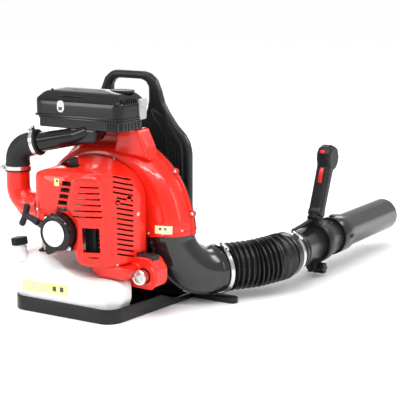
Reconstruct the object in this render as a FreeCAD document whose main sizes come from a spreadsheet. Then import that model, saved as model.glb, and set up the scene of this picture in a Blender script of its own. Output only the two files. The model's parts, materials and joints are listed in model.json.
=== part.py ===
import FreeCAD, Part
import math
import os
import Sketcher
from types import SimpleNamespace
from FreeCAD import Placement, Rotation, Vector

# Backpack leaf blower, millimetres.
# X points to the side that the air tube is on, -Y to the engine side, +Y to the wearer, +Z up.
# The origin is on the ground, under the back frame, on the centre line.
# The crankshaft, the fan and the recoil starter share one axis along Y.

DIMENSIONS = dict(
    base_front_half=131, base_rear_half=151, base_depth=271, base_floor=4, base_rim=31,
    base_wall=5, base_corner=34, foot_reach=256, foot_tall=13, foot_rear=28,
    frame_half=154, frame_front=-20, frame_back=4, frame_top=491, frame_shoulder=324,
    loop_top=474, loop_bottom=388, loop_half=50, grip_half=36,
    crank_up=178, cylinder_at=-200, stroke=34, rod_length=60, shaft_radius=8, bore_radius=20,
    fan_radius=90, fan_front=-118, fan_rear=-52, fan_blades=11,
    scroll_bottom=150, scroll_step=22, scroll_front=-130, scroll_split=-80, scroll_rear=-36,
    scroll_taper=30, scroll_tuck=24, shell_wall=2.5, eye_radius=66, rim_out=5,
    outlet_x=150, outlet_z=163, outlet_radius=52, outlet_lean=10, elbow_radius=48,
    elbow_bend=98, elbow_lead=15, hose_radius=55, hose_wall=3,
    tube_x=285, tube_z=79, tube_radius=41.5, tube_wall=2, tube_start=168, tube_joint=398,
    tube_end=706, end_radius=40, joint_overlap=42, band_y=325, band_wide=26,
    tank_left=-140, tank_right=128, tank_front=-265.6, tank_rear=-150, tank_bottom=4,
    tank_high=122, tank_low=84, cap_radius=17, cap_tall=17, neck_x=-121, neck_y=-247,
    cover_front=-264, cover_rear=-130, cover_left=-80, cover_right=132, cover_low=112,
    cover_top=330, cover_wall=2.5, starter_radius=38, starter_face=-290, starter_back=-246, rope_y=-272,
    case_left=-118, case_right=98, case_front=-190, case_rear=-98, case_bottom=381,
    case_top=405, lid_shoulder=446, lid_top=463, case_wall=2.5,
    duct_radius=19, boot_radius=27, horn_x=-163, horn_radius=25, running_gap=0.05, body_gap=0.4,
)

doc = FreeCAD.newDocument("leaf_blower")
sheet = doc.addObject("Spreadsheet::Sheet", "dims")


class Size:
    """A number together with its formula in the spreadsheet."""

    def __init__(self, number, formula):
        self.number = float(number)
        self.formula = formula

    def __float__(self):
        return self.number

    def joined(self, sign, other, number, swapped=False):
        pair = (as_size(other).formula, self.formula) if swapped else (self.formula, as_size(other).formula)
        return Size(number, "(%s %s %s)" % (pair[0], sign, pair[1]))

    def __add__(self, other):
        return self.joined("+", other, self.number + float(other))

    def __radd__(self, other):
        return self.joined("+", other, self.number + float(other), swapped=True)

    def __sub__(self, other):
        return self.joined("-", other, self.number - float(other))

    def __rsub__(self, other):
        return self.joined("-", other, float(other) - self.number, swapped=True)

    def __mul__(self, other):
        return self.joined("*", other, self.number * float(other))

    def __rmul__(self, other):
        return self.joined("*", other, self.number * float(other), swapped=True)

    def __truediv__(self, other):
        return self.joined("/", other, self.number / float(other))

    def __neg__(self):
        return Size(-self.number, "(-1 * %s)" % self.formula)


def as_size(value):
    return value if isinstance(value, Size) else Size(value, "%g" % value)


def fill_sheet():
    """Write every driving dimension to the spreadsheet and return them as named sizes."""
    sizes = SimpleNamespace()
    for row, (alias, number) in enumerate(DIMENSIONS.items(), start=1):
        sheet.set("A%d" % row, alias.replace("_", " "))
        sheet.set("B%d" % row, str(number))
        sheet.setAlias("B%d" % row, alias)
        setattr(sizes, alias, Size(number, "dims." + alias))
    doc.recompute()
    return sizes


d = fill_sheet()
subparts = []

X_AXIS = Vector(1, 0, 0)
Y_AXIS = Vector(0, 1, 0)
Z_AXIS = Vector(0, 0, 1)
PLANES = {"XY": "XY_Plane", "XZ": "XZ_Plane", "YZ": "YZ_Plane"}


# ---------------------------------------------------------------- general shapes

def bind(obj, prop, value):
    """Tie one property of an object to the spreadsheet."""
    obj.setExpression(prop, as_size(value).formula)


def put(obj, at, rotation=None):
    """Place an object with its coordinates tied to the spreadsheet."""
    obj.Placement = Placement(Vector(*[float(c) for c in at]), rotation or Rotation())
    for letter, value in zip("xyz", at):
        if isinstance(value, Size):
            bind(obj, "Placement.Base." + letter, value)
    return obj


def finish(obj, label):
    """Give a finished sub-part its name and list it for export."""
    obj.Label = label
    subparts.append(obj)
    return obj


def box(x, y, z):
    """A block between two coordinates on each axis."""
    obj = doc.addObject("Part::Box", "block")
    for prop, (low, high) in zip(("Length", "Width", "Height"), (x, y, z)):
        bind(obj, prop, as_size(high) - low)
    return put(obj, (x[0], y[0], z[0]))


def rod(radius, length, at, along=Z_AXIS):
    """A cylinder from a point along a direction."""
    obj = doc.addObject("Part::Cylinder", "rod")
    bind(obj, "Radius", radius)
    bind(obj, "Height", length)
    return put(obj, at, Rotation(Z_AXIS, Vector(along)))


def cone(radius, tip_radius, length, at, along=Z_AXIS):
    """A truncated cone from a point along a direction."""
    obj = doc.addObject("Part::Cone", "cone")
    bind(obj, "Radius1", radius)
    bind(obj, "Radius2", tip_radius)
    bind(obj, "Height", length)
    return put(obj, at, Rotation(Z_AXIS, Vector(along)))


def ball(radius, at):
    """A sphere about a point."""
    obj = doc.addObject("Part::Sphere", "ball")
    bind(obj, "Radius", radius)
    return put(obj, at)


def ring(radius, inner, length, at, along=Z_AXIS):
    """A tube from a point along a direction."""
    return cut(rod(radius, length, at, along), rod(inner, length, at, along))


def fuse(*objs):
    """One solid from several that touch, or a group of separate solids."""
    if len(objs) == 1:
        return objs[0]
    joined = doc.addObject("Part::MultiFuse", "joined")
    joined.Shapes = list(objs)
    return joined


def group(*objs):
    """Separate solids that are exported together."""
    together = doc.addObject("Part::Compound", "group")
    together.Links = list(objs)
    return together


def cut(base, *tools):
    """The first solid without the others."""
    made = doc.addObject("Part::Cut", "cut")
    made.Base = base
    made.Tool = fuse(*tools)
    return made


def common(*objs):
    """What all the solids share."""
    shared = doc.addObject("Part::MultiCommon", "shared")
    shared.Shapes = list(objs)
    return shared


def rounded(obj, radius, wanted):
    """Round the edges for which wanted(edge) is true."""
    doc.recompute()
    picked = [i + 1 for i, edge in enumerate(obj.Shape.Edges) if wanted(edge)]
    made = doc.addObject("Part::Fillet", "rounded")
    made.Base = obj
    made.Edges = [(index, float(radius), float(radius)) for index in picked]
    return made


def runs_along(edge, axis):
    """Whether a straight edge is parallel to an axis."""
    if edge.Curve.TypeId != "Part::GeomLine":
        return False
    return abs(edge.Curve.Direction.dot(axis)) > 0.999


def draw(sketch, points):
    """A closed outline of straight runs whose corners are tied to the spreadsheet."""
    spots = [Vector(float(u), float(v), 0) for u, v in points]
    count = len(spots)
    for index in range(count):
        sketch.addGeometry(Part.LineSegment(spots[index], spots[(index + 1) % count]), False)
    for index in range(count):
        following = (index + 1) % count
        sketch.addConstraint(Sketcher.Constraint("Coincident", index, 2, following, 1))
    for index, (u, v) in enumerate(points):
        for kind, value in (("DistanceX", u), ("DistanceY", v)):
            spot = sketch.addConstraint(Sketcher.Constraint(kind, -1, 1, index, 1, float(value)))
            if isinstance(value, Size):
                sketch.setExpression("Constraints[%d]" % spot, value.formula)


def sketch_on(body, plane, offset=0):
    """A sketch on one of the body's own origin planes, moved along its normal."""
    sketch = body.newObject("Sketcher::SketchObject", "outline")
    plane_object = [p for p in body.Origin.OriginFeatures if p.Role == PLANES[plane]][0]
    sketch.AttachmentSupport = [(plane_object, "")]
    sketch.MapMode = "FlatFace"
    sketch.AttachmentOffset = Placement(Vector(0, 0, float(offset)), Rotation())
    if isinstance(offset, Size):
        bind(sketch, "AttachmentOffset.Base.z", offset)
    return sketch


def prism(plane, points, low, high):
    """A body padded from an outline between two coordinates across its plane."""
    body = doc.addObject("PartDesign::Body", "prism")
    offset = -as_size(high) if plane == "XZ" else as_size(low)
    sketch = sketch_on(body, plane, offset)
    draw(sketch, points)
    pad = body.newObject("PartDesign::Pad", "pad")
    pad.Profile = sketch
    bind(pad, "Length", as_size(high) - low)
    return body


def turned(points, at, along=Z_AXIS):
    """A body turned from a half section of (radius, height) points."""
    body = doc.addObject("PartDesign::Body", "turned")
    sketch = sketch_on(body, "XZ")
    draw(sketch, points)
    spin = body.newObject("PartDesign::Revolution", "spin")
    spin.Profile = sketch
    spin.ReferenceAxis = (sketch, ["V_Axis"])
    spin.Angle = 360
    return put(body, at, Rotation(Z_AXIS, Vector(along)))


def mirrored_points(half):
    """A closed outline from its right half, given from the bottom up."""
    return half + [(-u, v) for u, v in reversed(half)]


def route(points, bends):
    """A wire of straight runs joined by tangent arcs, one bend radius for each inner point."""
    spots = [Vector(*[float(c) for c in p]) for p in points]
    edges = []
    start = spots[0]
    for before, corner, after, bend in zip(spots, spots[1:], spots[2:], bends):
        inward = (before - corner).normalize()
        outward = (after - corner).normalize()
        half_turn = (math.pi - inward.getAngle(outward)) / 2
        reach = float(bend) * math.tan(half_turn)
        first = corner + inward * reach
        last = corner + outward * reach
        middle_way = (inward + outward).normalize()
        middle = corner + middle_way * (float(bend) / math.cos(half_turn) - float(bend))
        if start.distanceToPoint(first) > 1e-4:
            edges.append(Part.LineSegment(start, first).toShape())
        edges.append(Part.Arc(first, middle, last).toShape())
        start = last
    edges.append(Part.LineSegment(start, spots[-1]).toShape())
    return Part.Wire(edges)


def swept(path, radius):
    """A round solid along a wire."""
    start = path.Edges[0]
    tangent = start.tangentAt(start.FirstParameter)
    circle = Part.Circle(start.valueAt(start.FirstParameter), tangent, float(radius))
    profile = Part.Wire([circle.toShape()])
    return path.makePipeShell([profile], True, False)


def feature(shape, name="piece"):
    """A document object around a shape made with Part's own functions."""
    obj = doc.addObject("Part::Feature", name)
    obj.Shape = shape
    return obj


def pipe(points, bends, radius, inner=None):
    """A round pipe along a bent route, hollow when an inner radius is given."""
    path = route(points, bends)
    solid = swept(path, radius)
    if inner is not None:
        solid = solid.cut(swept(path, inner))
    return feature(solid, "pipe")


# ---------------------------------------------------------------- base, frame and harness

def base_plate():
    """The tray that the blower stands on, open where the tank sits."""
    corners = [(-d.base_front_half, -d.base_depth), (d.base_front_half, -d.base_depth),
               (d.base_rear_half, d.frame_back), (-d.base_rear_half, d.frame_back)]
    wall = d.base_wall
    inner = [(wall - d.base_front_half, wall - d.base_depth), (d.base_front_half - wall, wall - d.base_depth),
             (d.base_rear_half - wall, -wall), (wall - d.base_rear_half, -wall)]
    block = prism("XY", corners, 0, d.base_rim)
    outer = rounded(block, d.base_corner, lambda e: runs_along(e, Z_AXIS) and e.CenterOfMass.y < -200)
    hollow = prism("XY", inner, d.base_floor, d.base_rim + 1)
    smooth = rounded(hollow, float(d.base_corner) - float(wall),
                     lambda e: runs_along(e, Z_AXIS) and e.CenterOfMass.y < -200)
    slope = prism("YZ", [(-110, d.base_rim + 1), (-60, d.foot_tall), (d.frame_back + 1, d.foot_tall),
                         (d.frame_back + 1, d.base_rim + 1)],
                  -d.base_rear_half - 1, d.base_rear_half + 1)
    finish(cut(outer, smooth, slope), "base_plate")


def foot_bar():
    """The steadying foot that reaches out on the side of the air tube."""
    bar = box((d.base_rear_half - 40, d.foot_reach), (d.frame_back, d.foot_rear), (0, d.foot_tall))
    end = rounded(bar, 11, lambda e: runs_along(e, Z_AXIS) and e.CenterOfMass.x > 200)
    finish(end, "foot_bar")


def back_frame():
    """The moulded back frame with the carrying handle at its top."""
    half = [(d.frame_half - 22, d.foot_tall), (d.frame_half - 22, 128), (d.frame_half, 148),
            (d.frame_half, d.frame_shoulder),
            (149, 343), (139, 359), (118, 379), (98, 404), (85, 424), (76, 452), (66, 474),
            (52, 486), (d.grip_half, d.frame_top)]
    plate = prism("XZ", mirrored_points(half), d.frame_front, d.frame_back)
    loop = prism("XZ", mirrored_points([(36, d.loop_bottom), (46, 412), (d.loop_half, 432),
                                        (d.loop_half, 458), (42, 470), (30, d.loop_top)]),
                 d.frame_front - 1, d.frame_back + 1)
    waist = prism("XZ", [(-120, 120), (120, 120), (126, 310), (90, 352), (-90, 352), (-126, 310)],
                  -6, d.frame_back + 1)
    channels = [box((x, x + 9), (d.frame_front - 1, -12), (40, 330))
                for x in (-146, -128, 119, 137)]
    heel = box((24 - d.frame_half, d.frame_half - 24), (d.frame_front, -0.5), (d.foot_tall, 30))
    finish(cut(fuse(plate, heel), loop, waist, *channels), "back_frame")


def back_pad():
    """The cushion between the frame and the wearer's back."""
    pad = prism("XZ", [(-95, 130), (95, 130), (110, 170), (110, 286), (84, 318), (-84, 318), (-110, 286),
                       (-110, 170)], -6, 30)
    soft = rounded(pad, 8, lambda e: e.CenterOfMass.y > 29)
    finish(soft, "back_pad")


def shoulder_straps():
    """Two padded straps that loop from the shoulders to the frame's foot."""
    line = [(31, 340), (52, 352), (82, 334), (98, 280), (92, 200), (66, 130), (31, 96)]
    inner = [(31, 333), (50, 343), (76, 328), (91, 279), (85, 203), (61, 136), (31, 103)]
    outline = [(u, v) for u, v in line + inner[::-1]]
    finish(group(prism("YZ", outline, -84, -36), prism("YZ", outline, 36, 84)), "shoulder_straps")


def strap_buckles():
    """The four anchor blocks that hold the straps to the frame."""
    blocks = []
    for side in (-1, 1):
        for low, front in ((326, -6), (90, 4)):
            x = side * 60
            blocks.append(box((x - 27, x + 27), (front, 31),
                              (low, low + 18)))
    finish(group(*blocks), "strap_buckles")


def isolator_mounts():
    """Four rubber mounts between the frame and the fan case."""
    mounts = []
    for x, z in ((-86, 110), (-86, 270), (86, 270), (62, 110)):
        mounts.append(rod(14, d.frame_front - d.scroll_rear, (x, d.scroll_rear, z), Y_AXIS))
    finish(group(*mounts), "isolator_mounts")


# ---------------------------------------------------------------- fan case and fan

def scroll_wire(y, grow, inset):
    """The fan case outline at one depth: three tangent arcs whose radius steps up each quarter."""
    step = float(d.scroll_step)
    half = step / 2
    up = float(d.crank_up)
    base = float(d.scroll_bottom) + grow - inset
    centres = [Vector(-half, y, up + half), Vector(half, y, up + half), Vector(half, y, up - half)]
    edges = []
    for index, start in enumerate((-90, 180, 90)):
        radius = base + index * step
        spots = [centres[index] + Vector(radius * math.cos(math.radians(a)), 0, radius * math.sin(math.radians(a)))
                 for a in (start, start - 45, start - 90)]
        edges.append(Part.Arc(*spots).toShape())
    bottom = centres[0] - Vector(0, 0, base)
    right = centres[2] + Vector(base + 2 * step, 0, 0)
    low_right = Vector(right.x - 3, y, float(d.outlet_z) - 2 + inset)
    tongue = Vector(100 - 1.2 * inset, y, low_right.z)
    heel = Vector(78 - 0.85 * inset, y, 88 + 0.75 * inset)
    corners = [right, low_right, tongue, heel, bottom]
    for first, second in zip(corners, corners[1:]):
        edges.append(Part.LineSegment(first, second).toShape())
    return Part.Wire(Part.__sortEdges__(edges))


def scroll_solid(inset):
    """The fan case as one closed solid, shrunk by an inset on every side."""
    front = float(d.scroll_front) + inset
    split = float(d.scroll_split)
    rear = float(d.scroll_rear) - inset
    nose = Part.makeLoft([scroll_wire(front, -float(d.scroll_taper), inset), scroll_wire(split, 0, inset)],
                         True, True)
    drum = Part.makeLoft([scroll_wire(split, 0, inset), scroll_wire(rear, -float(d.scroll_tuck), inset)], True, True)
    mouth, down = outlet_line()
    reach = 62 - inset
    spout = Part.makeCylinder(float(d.outlet_radius) - inset, reach + inset * 4, mouth - down * reach, down)
    return nose.fuse([drum, spout])


def split_box(front):
    """A large block on one side of the fan case's joint face."""
    split = float(d.scroll_split)
    low = split - 200 if front else split
    return Part.makeBox(700, 200, 700, Vector(-350, low, -100))


def rim_spots(y):
    """The screw positions around the fan case's joint, just outside its wall."""
    half = float(d.scroll_step) / 2
    up = float(d.crank_up)
    spots = []
    for angle in (12, 40, 66, 100, 128, 158, 200, 238):
        quarter = 2 - int(angle / 90)
        centre = Vector(half if quarter > 0 else -half, y, up - half if quarter == 2 else up + half)
        reach = float(d.scroll_bottom) + quarter * float(d.scroll_step) + 3
        way = math.radians(angle)
        spots.append(centre + Vector(reach * math.cos(way), 0, reach * math.sin(way)))
    return spots


def fan_case():
    """The two halves of the fan case, with the shaft hole in front and the air inlet behind."""
    outer = scroll_solid(0)
    inner = scroll_solid(float(d.shell_wall))
    split = float(d.scroll_split)
    flange = Part.Face(scroll_wire(split - 3, float(d.rim_out), 0)).extrude(Vector(0, 6, 0))
    lugs = [Part.makeCylinder(7, 6, spot, Y_AXIS) for spot in rim_spots(split - 3)]
    shell = outer.fuse([flange] + lugs).cut(inner)
    up = float(d.crank_up)
    shaft_hole = Part.makeCylinder(13, 20, Vector(0, float(d.scroll_front) - 5, up), Y_AXIS)
    front = shell.common(split_box(True)).cut(shaft_hole)
    eye = Part.makeCylinder(float(d.eye_radius), 20, Vector(0, float(d.scroll_rear) - 10, up), Y_AXIS)
    rear = shell.common(split_box(False)).cut(eye)
    grille = []
    guard_y = float(d.scroll_rear) - 2.5
    for radius in (20, 36, 52):
        outer_ring = Part.makeCylinder(radius + 1.5, 2.5, Vector(0, guard_y, up), Y_AXIS)
        grille.append(outer_ring.cut(Part.makeCylinder(radius - 1.5, 2.5, Vector(0, guard_y, up), Y_AXIS)))
    for index in range(6):
        bar = Part.makeBox(float(d.eye_radius) + 1, 2.5, 3, Vector(0, guard_y, up - 1.5))
        bar.rotate(Vector(0, guard_y, up), Y_AXIS, index * 60)
        grille.append(bar)
    finish(feature(front.removeSplitter()), "volute_front")
    finish(feature(rear.fuse(grille).removeSplitter()), "volute_rear")


def fan_impeller():
    """The fan wheel: a back disc, a hub and leaning blades."""
    up = d.crank_up
    hub = ring(20, d.shaft_radius, d.fan_rear - d.fan_front, (0, d.fan_front, up), Y_AXIS)
    disc = ring(d.fan_radius, d.shaft_radius, 3, (0, d.fan_front, up), Y_AXIS)
    blades = []
    for index in range(int(d.fan_blades.number)):
        blade = Part.makeBox(float(d.fan_radius) - 38, float(d.fan_rear) - float(d.fan_front) - 8, 2.5,
                             Vector(34, float(d.fan_front) + 1, 0))
        blade.rotate(Vector(34, 0, 0), Y_AXIS, 24)
        blade.rotate(Vector(), Y_AXIS, index * 360.0 / float(d.fan_blades))
        blade.translate(Vector(0, 0, float(up)))
        blades.append(feature(blade))
    finish(fuse(hub, disc, *blades), "fan_impeller")


def shell_screws():
    """The screws that hold the fan case halves together."""
    face = float(d.scroll_split) - 3
    finish(group(*[rod(3.5, 5, tuple(spot), Y_AXIS) for spot in rim_spots(face - 5)]), "shell_screws")


# ---------------------------------------------------------------- engine

def crankcase():
    """The crankcase, hollow for the crank webs and open to the cylinder above."""
    up = d.crank_up
    middle = d.cylinder_at
    round_part = rod(36, 66, (0, middle - 32, up), Y_AXIS)
    top = box((-38, 38), (middle - 32, middle + 34), (up, up + 36))
    cavity = rod(33, 36, (0, middle - 18, up), Y_AXIS)
    throat = rod(d.bore_radius + 1, 40, (0, middle, up))
    rod_room = box((-27, 27), (middle - 6, middle + 6), (up, up + 33))
    seats = rod(17.5, 60, (0, middle - 29, up), Y_AXIS)
    ends = rod(d.shaft_radius + 1, 90, (0, middle - 45, up), Y_AXIS)
    plate = box((-44, 44), (middle + 31, middle + 34), (up - 56, up + 56))
    posts = [rod(5, d.scroll_front - middle - 34, (x, middle + 34, up + z), Y_AXIS)
             for x in (-39, 39) for z in (-48, 48)]
    finish(cut(fuse(round_part, top, plate, *posts), cavity, throat, rod_room, seats, ends), "crankcase")


def crank_bearings():
    """The two main bearings."""
    gap = d.shaft_radius + d.running_gap
    races = [ring(17.5, gap, 10.5, (0, d.cylinder_at + offset, d.crank_up), Y_AXIS)
             for offset in (-29, 18.5)]
    finish(group(*races), "crank_bearings")


def crankshaft():
    """The crankshaft: two journals, two webs with counterweights, and short crank pin ends."""
    up = d.crank_up
    middle = d.cylinder_at
    throw = d.stroke / 2
    front = rod(d.shaft_radius, 46, (0, middle - 53, up), Y_AXIS)
    rear = rod(d.shaft_radius, 140, (0, middle + 7, up), Y_AXIS)
    pieces = [front, rear]
    for offset in (-14, 7):
        pieces.append(rod(26, 7, (0, middle + offset, up), Y_AXIS))
    for offset in (-7.5, 5.5):
        pieces.append(rod(6, 2, (0, middle + offset, up + throw), Y_AXIS))
    finish(fuse(*pieces), "crankshaft")


def connecting_rod():
    """The rod between the wrist pin and the crank pin."""
    middle = d.cylinder_at
    low = d.crank_up + d.stroke / 2
    high = low + d.rod_length
    big_end = rod(11, 9, (0, middle - 4.5, low), Y_AXIS)
    small_end = rod(8.5, 9, (0, middle - 4.5, high), Y_AXIS)
    shank = box((-4.5, 4.5), (middle - 3, middle + 3), (low + 6, high - 5))
    bore = rod(6.3, 20, (0, middle - 10, low), Y_AXIS)
    eye = rod(5 + d.running_gap, 20, (0, middle - 10, high), Y_AXIS)
    finish(cut(fuse(big_end, small_end, shank), bore, eye), "connecting_rod")


def piston():
    """The piston with its wrist pin, at the top of its stroke."""
    middle = d.cylinder_at
    pin_up = d.crank_up + d.stroke / 2 + d.rod_length
    crown = rod(d.bore_radius - d.running_gap, 30, (0, middle, pin_up - 16))
    hollow = rod(16.5, 26.5, (0, middle, pin_up - 17))
    pin = rod(5, 36, (0, middle - 18, pin_up), Y_AXIS)
    finish(fuse(cut(crown, hollow), pin), "piston")


def cylinder():
    """The finned cylinder and head, bored for the piston and the spark plug."""
    middle = d.cylinder_at
    foot = d.crank_up + 36
    barrel = rod(27, 74, (0, middle, foot))
    flange = box((-34, 34), (middle - 30, middle + 30), (foot, foot + 4))
    fins = [box((-44, 44), (middle - 36, middle + 30), (foot + 11 + 7 * n, foot + 13 + 7 * n))
            for n in range(9)]
    exhaust = rod(14.5, 31, (17, middle, foot + 24), X_AXIS)
    intake = rod(12.5, 30, (-17, middle, foot + 14), -X_AXIS)
    bore = rod(d.bore_radius, 57, (0, middle, foot - 1))
    plug_hole = rod(5, 30, (0, middle, foot + 50), Vector(0, -0.3, 0.954))
    ports = [rod(9, 40, (17, middle, foot + 24), X_AXIS), rod(8, 40, (-17, middle, foot + 14), -X_AXIS)]
    finish(cut(fuse(barrel, flange, exhaust, intake, *fins), bore, plug_hole, *ports), "cylinder")


PLUG_LINE = Vector(0, -0.3, 0.954)


def spark_plug():
    """The spark plug, leaning forward out of the head."""
    foot = float(d.crank_up) + 36
    start = Vector(0, float(d.cylinder_at), foot + 50)
    seat = start + PLUG_LINE * 28
    thread = rod(4.95, 20.5, tuple(start + PLUG_LINE * 8), PLUG_LINE)
    hexagon = rod(9, 9, tuple(seat), PLUG_LINE)
    porcelain = rod(5, 22, tuple(seat + PLUG_LINE * 8), PLUG_LINE)
    finish(fuse(thread, hexagon, porcelain), "spark_plug")


def plug_boot():
    """The rubber plug boot and its high-tension lead, held all the way to the coil."""
    foot = float(d.crank_up) + 36
    seat = Vector(0, float(d.cylinder_at), foot + 50) + PLUG_LINE * 37.3
    shell = rod(9.5, 27, tuple(seat), PLUG_LINE)
    porcelain = rod(5.1, 23, tuple(seat - PLUG_LINE), PLUG_LINE)
    top = seat + PLUG_LINE * 23.5
    lead = pipe([top, top + Vector(-20, 6, -2), (-46, -196, 308), (-60, -172, 284), (-64, -149, 236)],
                [10, 14, 24], 3.2)
    finish(cut(fuse(shell, lead), porcelain), "plug_boot")


def ignition_coil():
    """The ignition coil beside the flywheel."""
    block = box((d.cover_left + d.cover_wall, -50), (-158, -138),
                (204, 236))
    foot = box((-62, -50), (-153, -143), (192, 206))
    finish(fuse(block, foot), "ignition_coil")


def flywheel():
    """The flywheel with cooling fins on its front face."""
    up = d.crank_up
    disc = ring(46, d.shaft_radius, 14, (0, -152, up), Y_AXIS)
    fins = []
    for index in range(12):
        fin = Part.makeBox(20, 6, 2, Vector(24, -157, -1))
        fin.rotate(Vector(), Y_AXIS, index * 30)
        fin.translate(Vector(0, 0, float(up)))
        fins.append(feature(fin))
    finish(fuse(disc, *fins), "flywheel")


def carburettor():
    """The carburettor body with its bowl, on the intake side."""
    middle = d.cylinder_at
    height = d.crank_up + 50
    body = box((-92, -60), (middle - 20, middle + 20), (height - 18, height + 18))
    insulator = rod(13, 14, (-47, middle, height), -X_AXIS)
    bowl = rod(15, 10, (-76, middle, height - 28))
    throat = rod(8, 60, (-40, middle, height), -X_AXIS)
    finish(cut(fuse(body, insulator, bowl), throat), "carburettor")


def choke_lever():
    """The choke lever on the front of the carburettor."""
    pivot = (-76, d.cylinder_at - 20.4, d.crank_up + 40)
    boss = rod(6, 5, pivot, -Y_AXIS)
    arm = box((-98, -76), (d.cylinder_at - 25, d.cylinder_at - 21.5),
              (d.crank_up + 37, d.crank_up + 43))
    finish(fuse(boss, arm), "choke_lever")


def intake_horn():
    """The red moulded horn that brings filtered air down to the carburettor."""
    middle = float(d.cylinder_at)
    height = float(d.crank_up) + 38
    x = float(d.horn_x)
    outer = route([(x, middle, 292), (x, middle, height), (-104, middle, height)], [36])
    horn = swept(outer, float(d.horn_radius)).cut(swept(outer, float(d.horn_radius) - 3))
    plate = Part.makeBox(8, 42, 50, Vector(-104, middle - 21, height - 25))
    plate = plate.cut(Part.makeCylinder(float(d.horn_radius) - 3, 20, Vector(-110, middle, height), X_AXIS))
    neck = Part.makeBox(4, 36, 34, Vector(-96, middle - 18, height - 6))
    neck = neck.cut(Part.makeCylinder(8, 20, Vector(-104, middle, height + 12), X_AXIS))
    finish(feature(horn.fuse([plate, neck]).removeSplitter()), "intake_horn")


def muffler():
    """The muffler can beside the cylinder and its lower outlet chamber."""
    can = box((48, 104), (-222, -150), (130, 262))
    can = rounded(can, 8, lambda e: True)
    chamber = box((84, 168), (-176, -152), (72, 131))
    can_room = box((50, 102), (-219, -153), (133, 259))
    chamber_room = box((86, 166), (-174, -154), (74, 129))
    finish(cut(fuse(can, chamber), can_room, chamber_room), "muffler")


def exhaust_pipe():
    """The bright exhaust stub with its flared rim and end disc."""
    x, z = 152, 90
    tube = ring(13, 11, 26, (x, -202, z), Y_AXIS)
    rim = ring(16, 12, 4, (x, -190.5, z), Y_AXIS)
    finish(fuse(tube, rim), "exhaust_pipe")


def chamber_way():
    """The space that the muffler's lower chamber needs through the cover and its guard."""
    return box((82, 171), (-178, -150), (69, 133.5))


def muffler_guard():
    """The red guard: a belly under the cover and a box around the exhaust."""
    belly = box((52, 142), (-232, -140), (87, d.cover_low))
    side = box((116, 180), (-186, -138), (64, 126))
    belly = rounded(belly, 10, lambda e: runs_along(e, Y_AXIS) and e.CenterOfMass.z < 100)
    side = rounded(side, 12, lambda e: runs_along(e, Y_AXIS) and e.CenterOfMass.x > 150)
    room = box((55, 139), (-229, -143), (90, 114))
    side_room = box((113, 177), (-183, -130), (67, 123))
    hole = rod(17, 40, (152, -210, 90), Y_AXIS)
    above = box((40, d.cover_right), (-240, d.cover_rear + 1), (d.cover_low, 130))
    finish(cut(fuse(belly, side), room, side_room, hole, above, chamber_way()), "muffler_guard")


# ---------------------------------------------------------------- engine cover and starter

def cover_block(inset):
    """The engine cover's form, shrunk by an inset: front view, plan and side view together."""
    left = d.cover_left + inset
    low = d.cover_low + inset
    top = d.cover_top - inset
    front = d.cover_front + inset
    right = d.cover_right - inset
    sill = 213 if inset else 214
    face = prism("XZ", [(left, sill), (30, sill), (44, low), (right, low), (right, 262),
                        (122 - inset, 296 - inset), (100 - inset, 310 - inset), (50, top - 5), (0, top),
                        (-44, top - 6), (left, 304 - inset)],
                 front, d.cover_rear + (1 if inset else 0))
    plan = prism("XY", [(left, d.cover_rear + 1), (left, -240), (-66, front), (40, front), (102 - inset, -236 + inset),
                        (right - 6, -196), (right, d.cover_rear + 1)], 100, 360)
    side = prism("YZ", [(d.cover_rear + 1, 100), (front, 100), (front, 294 - inset), (-254, 306 - inset),
                        (-200, 318 - inset), (d.cover_rear + 1, top)], -100, 160)
    return common(face, plan, side)


def engine_cover():
    """The big red engine cover with its grilles, window and starter cut-out."""
    outer = rounded(cover_block(0), 8, lambda e: runs_along(e, Z_AXIS) and e.CenterOfMass.y < -190)
    shell = cut(outer, cover_block(float(d.cover_wall)))
    tools = [rod(d.starter_radius + 4.5, 60, (0, d.cover_front - 10, d.crank_up + 2), Y_AXIS)]
    tools.append(rod(14, 60, (0, -214, 296), PLUG_LINE))
    tools.append(box((-43, -8), (-220, -191), (300, 335)))
    tools.append(box((d.cover_left - 10, d.cover_left + 8), (-232, -170),
                     (196, 256)))
    tools.append(chamber_way())
    tools.append(box((22, 52), (-236, d.cover_rear + 1), (d.cover_low + 3, 217)))
    mouth, down = outlet_line()
    tools.append(rod(d.outlet_radius + 0.4, 80, tuple(mouth - down * 60), down))
    for index in range(5):
        z = 286 - 13 * index
        x = 8 - 4 * index
        tools.append(box((x, x + 26), (d.cover_front - 5, d.cover_front + 8),
                         (z - 9, z)))
    for index in range(6):
        z = 278 - 12.5 * index
        slot = Part.makeBox(44 + 3 * index, 12, 3.2, Vector(50 - 3 * index, 0, z))
        slot.rotate(Vector(50 - 3 * index, 0, z), Z_AXIS, 22)
        slot.translate(Vector(0, -266 + 3.0 - 1.3 * index, 0))
        tools.append(feature(slot))
    window = Part.makeBox(36, 30, 50, Vector(0, 0, 0))
    window.rotate(Vector(), Z_AXIS, 22)
    window.translate(Vector(56, -266, 144))
    tools.append(feature(window))
    for index in range(16):
        z = 296 - 10.4 * index
        slot = Part.makeBox(14, 44, 3, Vector(0, 0, 0))
        slot.rotate(Vector(), X_AXIS, -14)
        slot.rotate(Vector(), Z_AXIS, -14)
        slot.translate(Vector(108, -226, z))
        tools.append(feature(slot))
    finish(cut(shell, *tools), "engine_cover")


PULL = Vector(-0.94, 0, 0.341)


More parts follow.
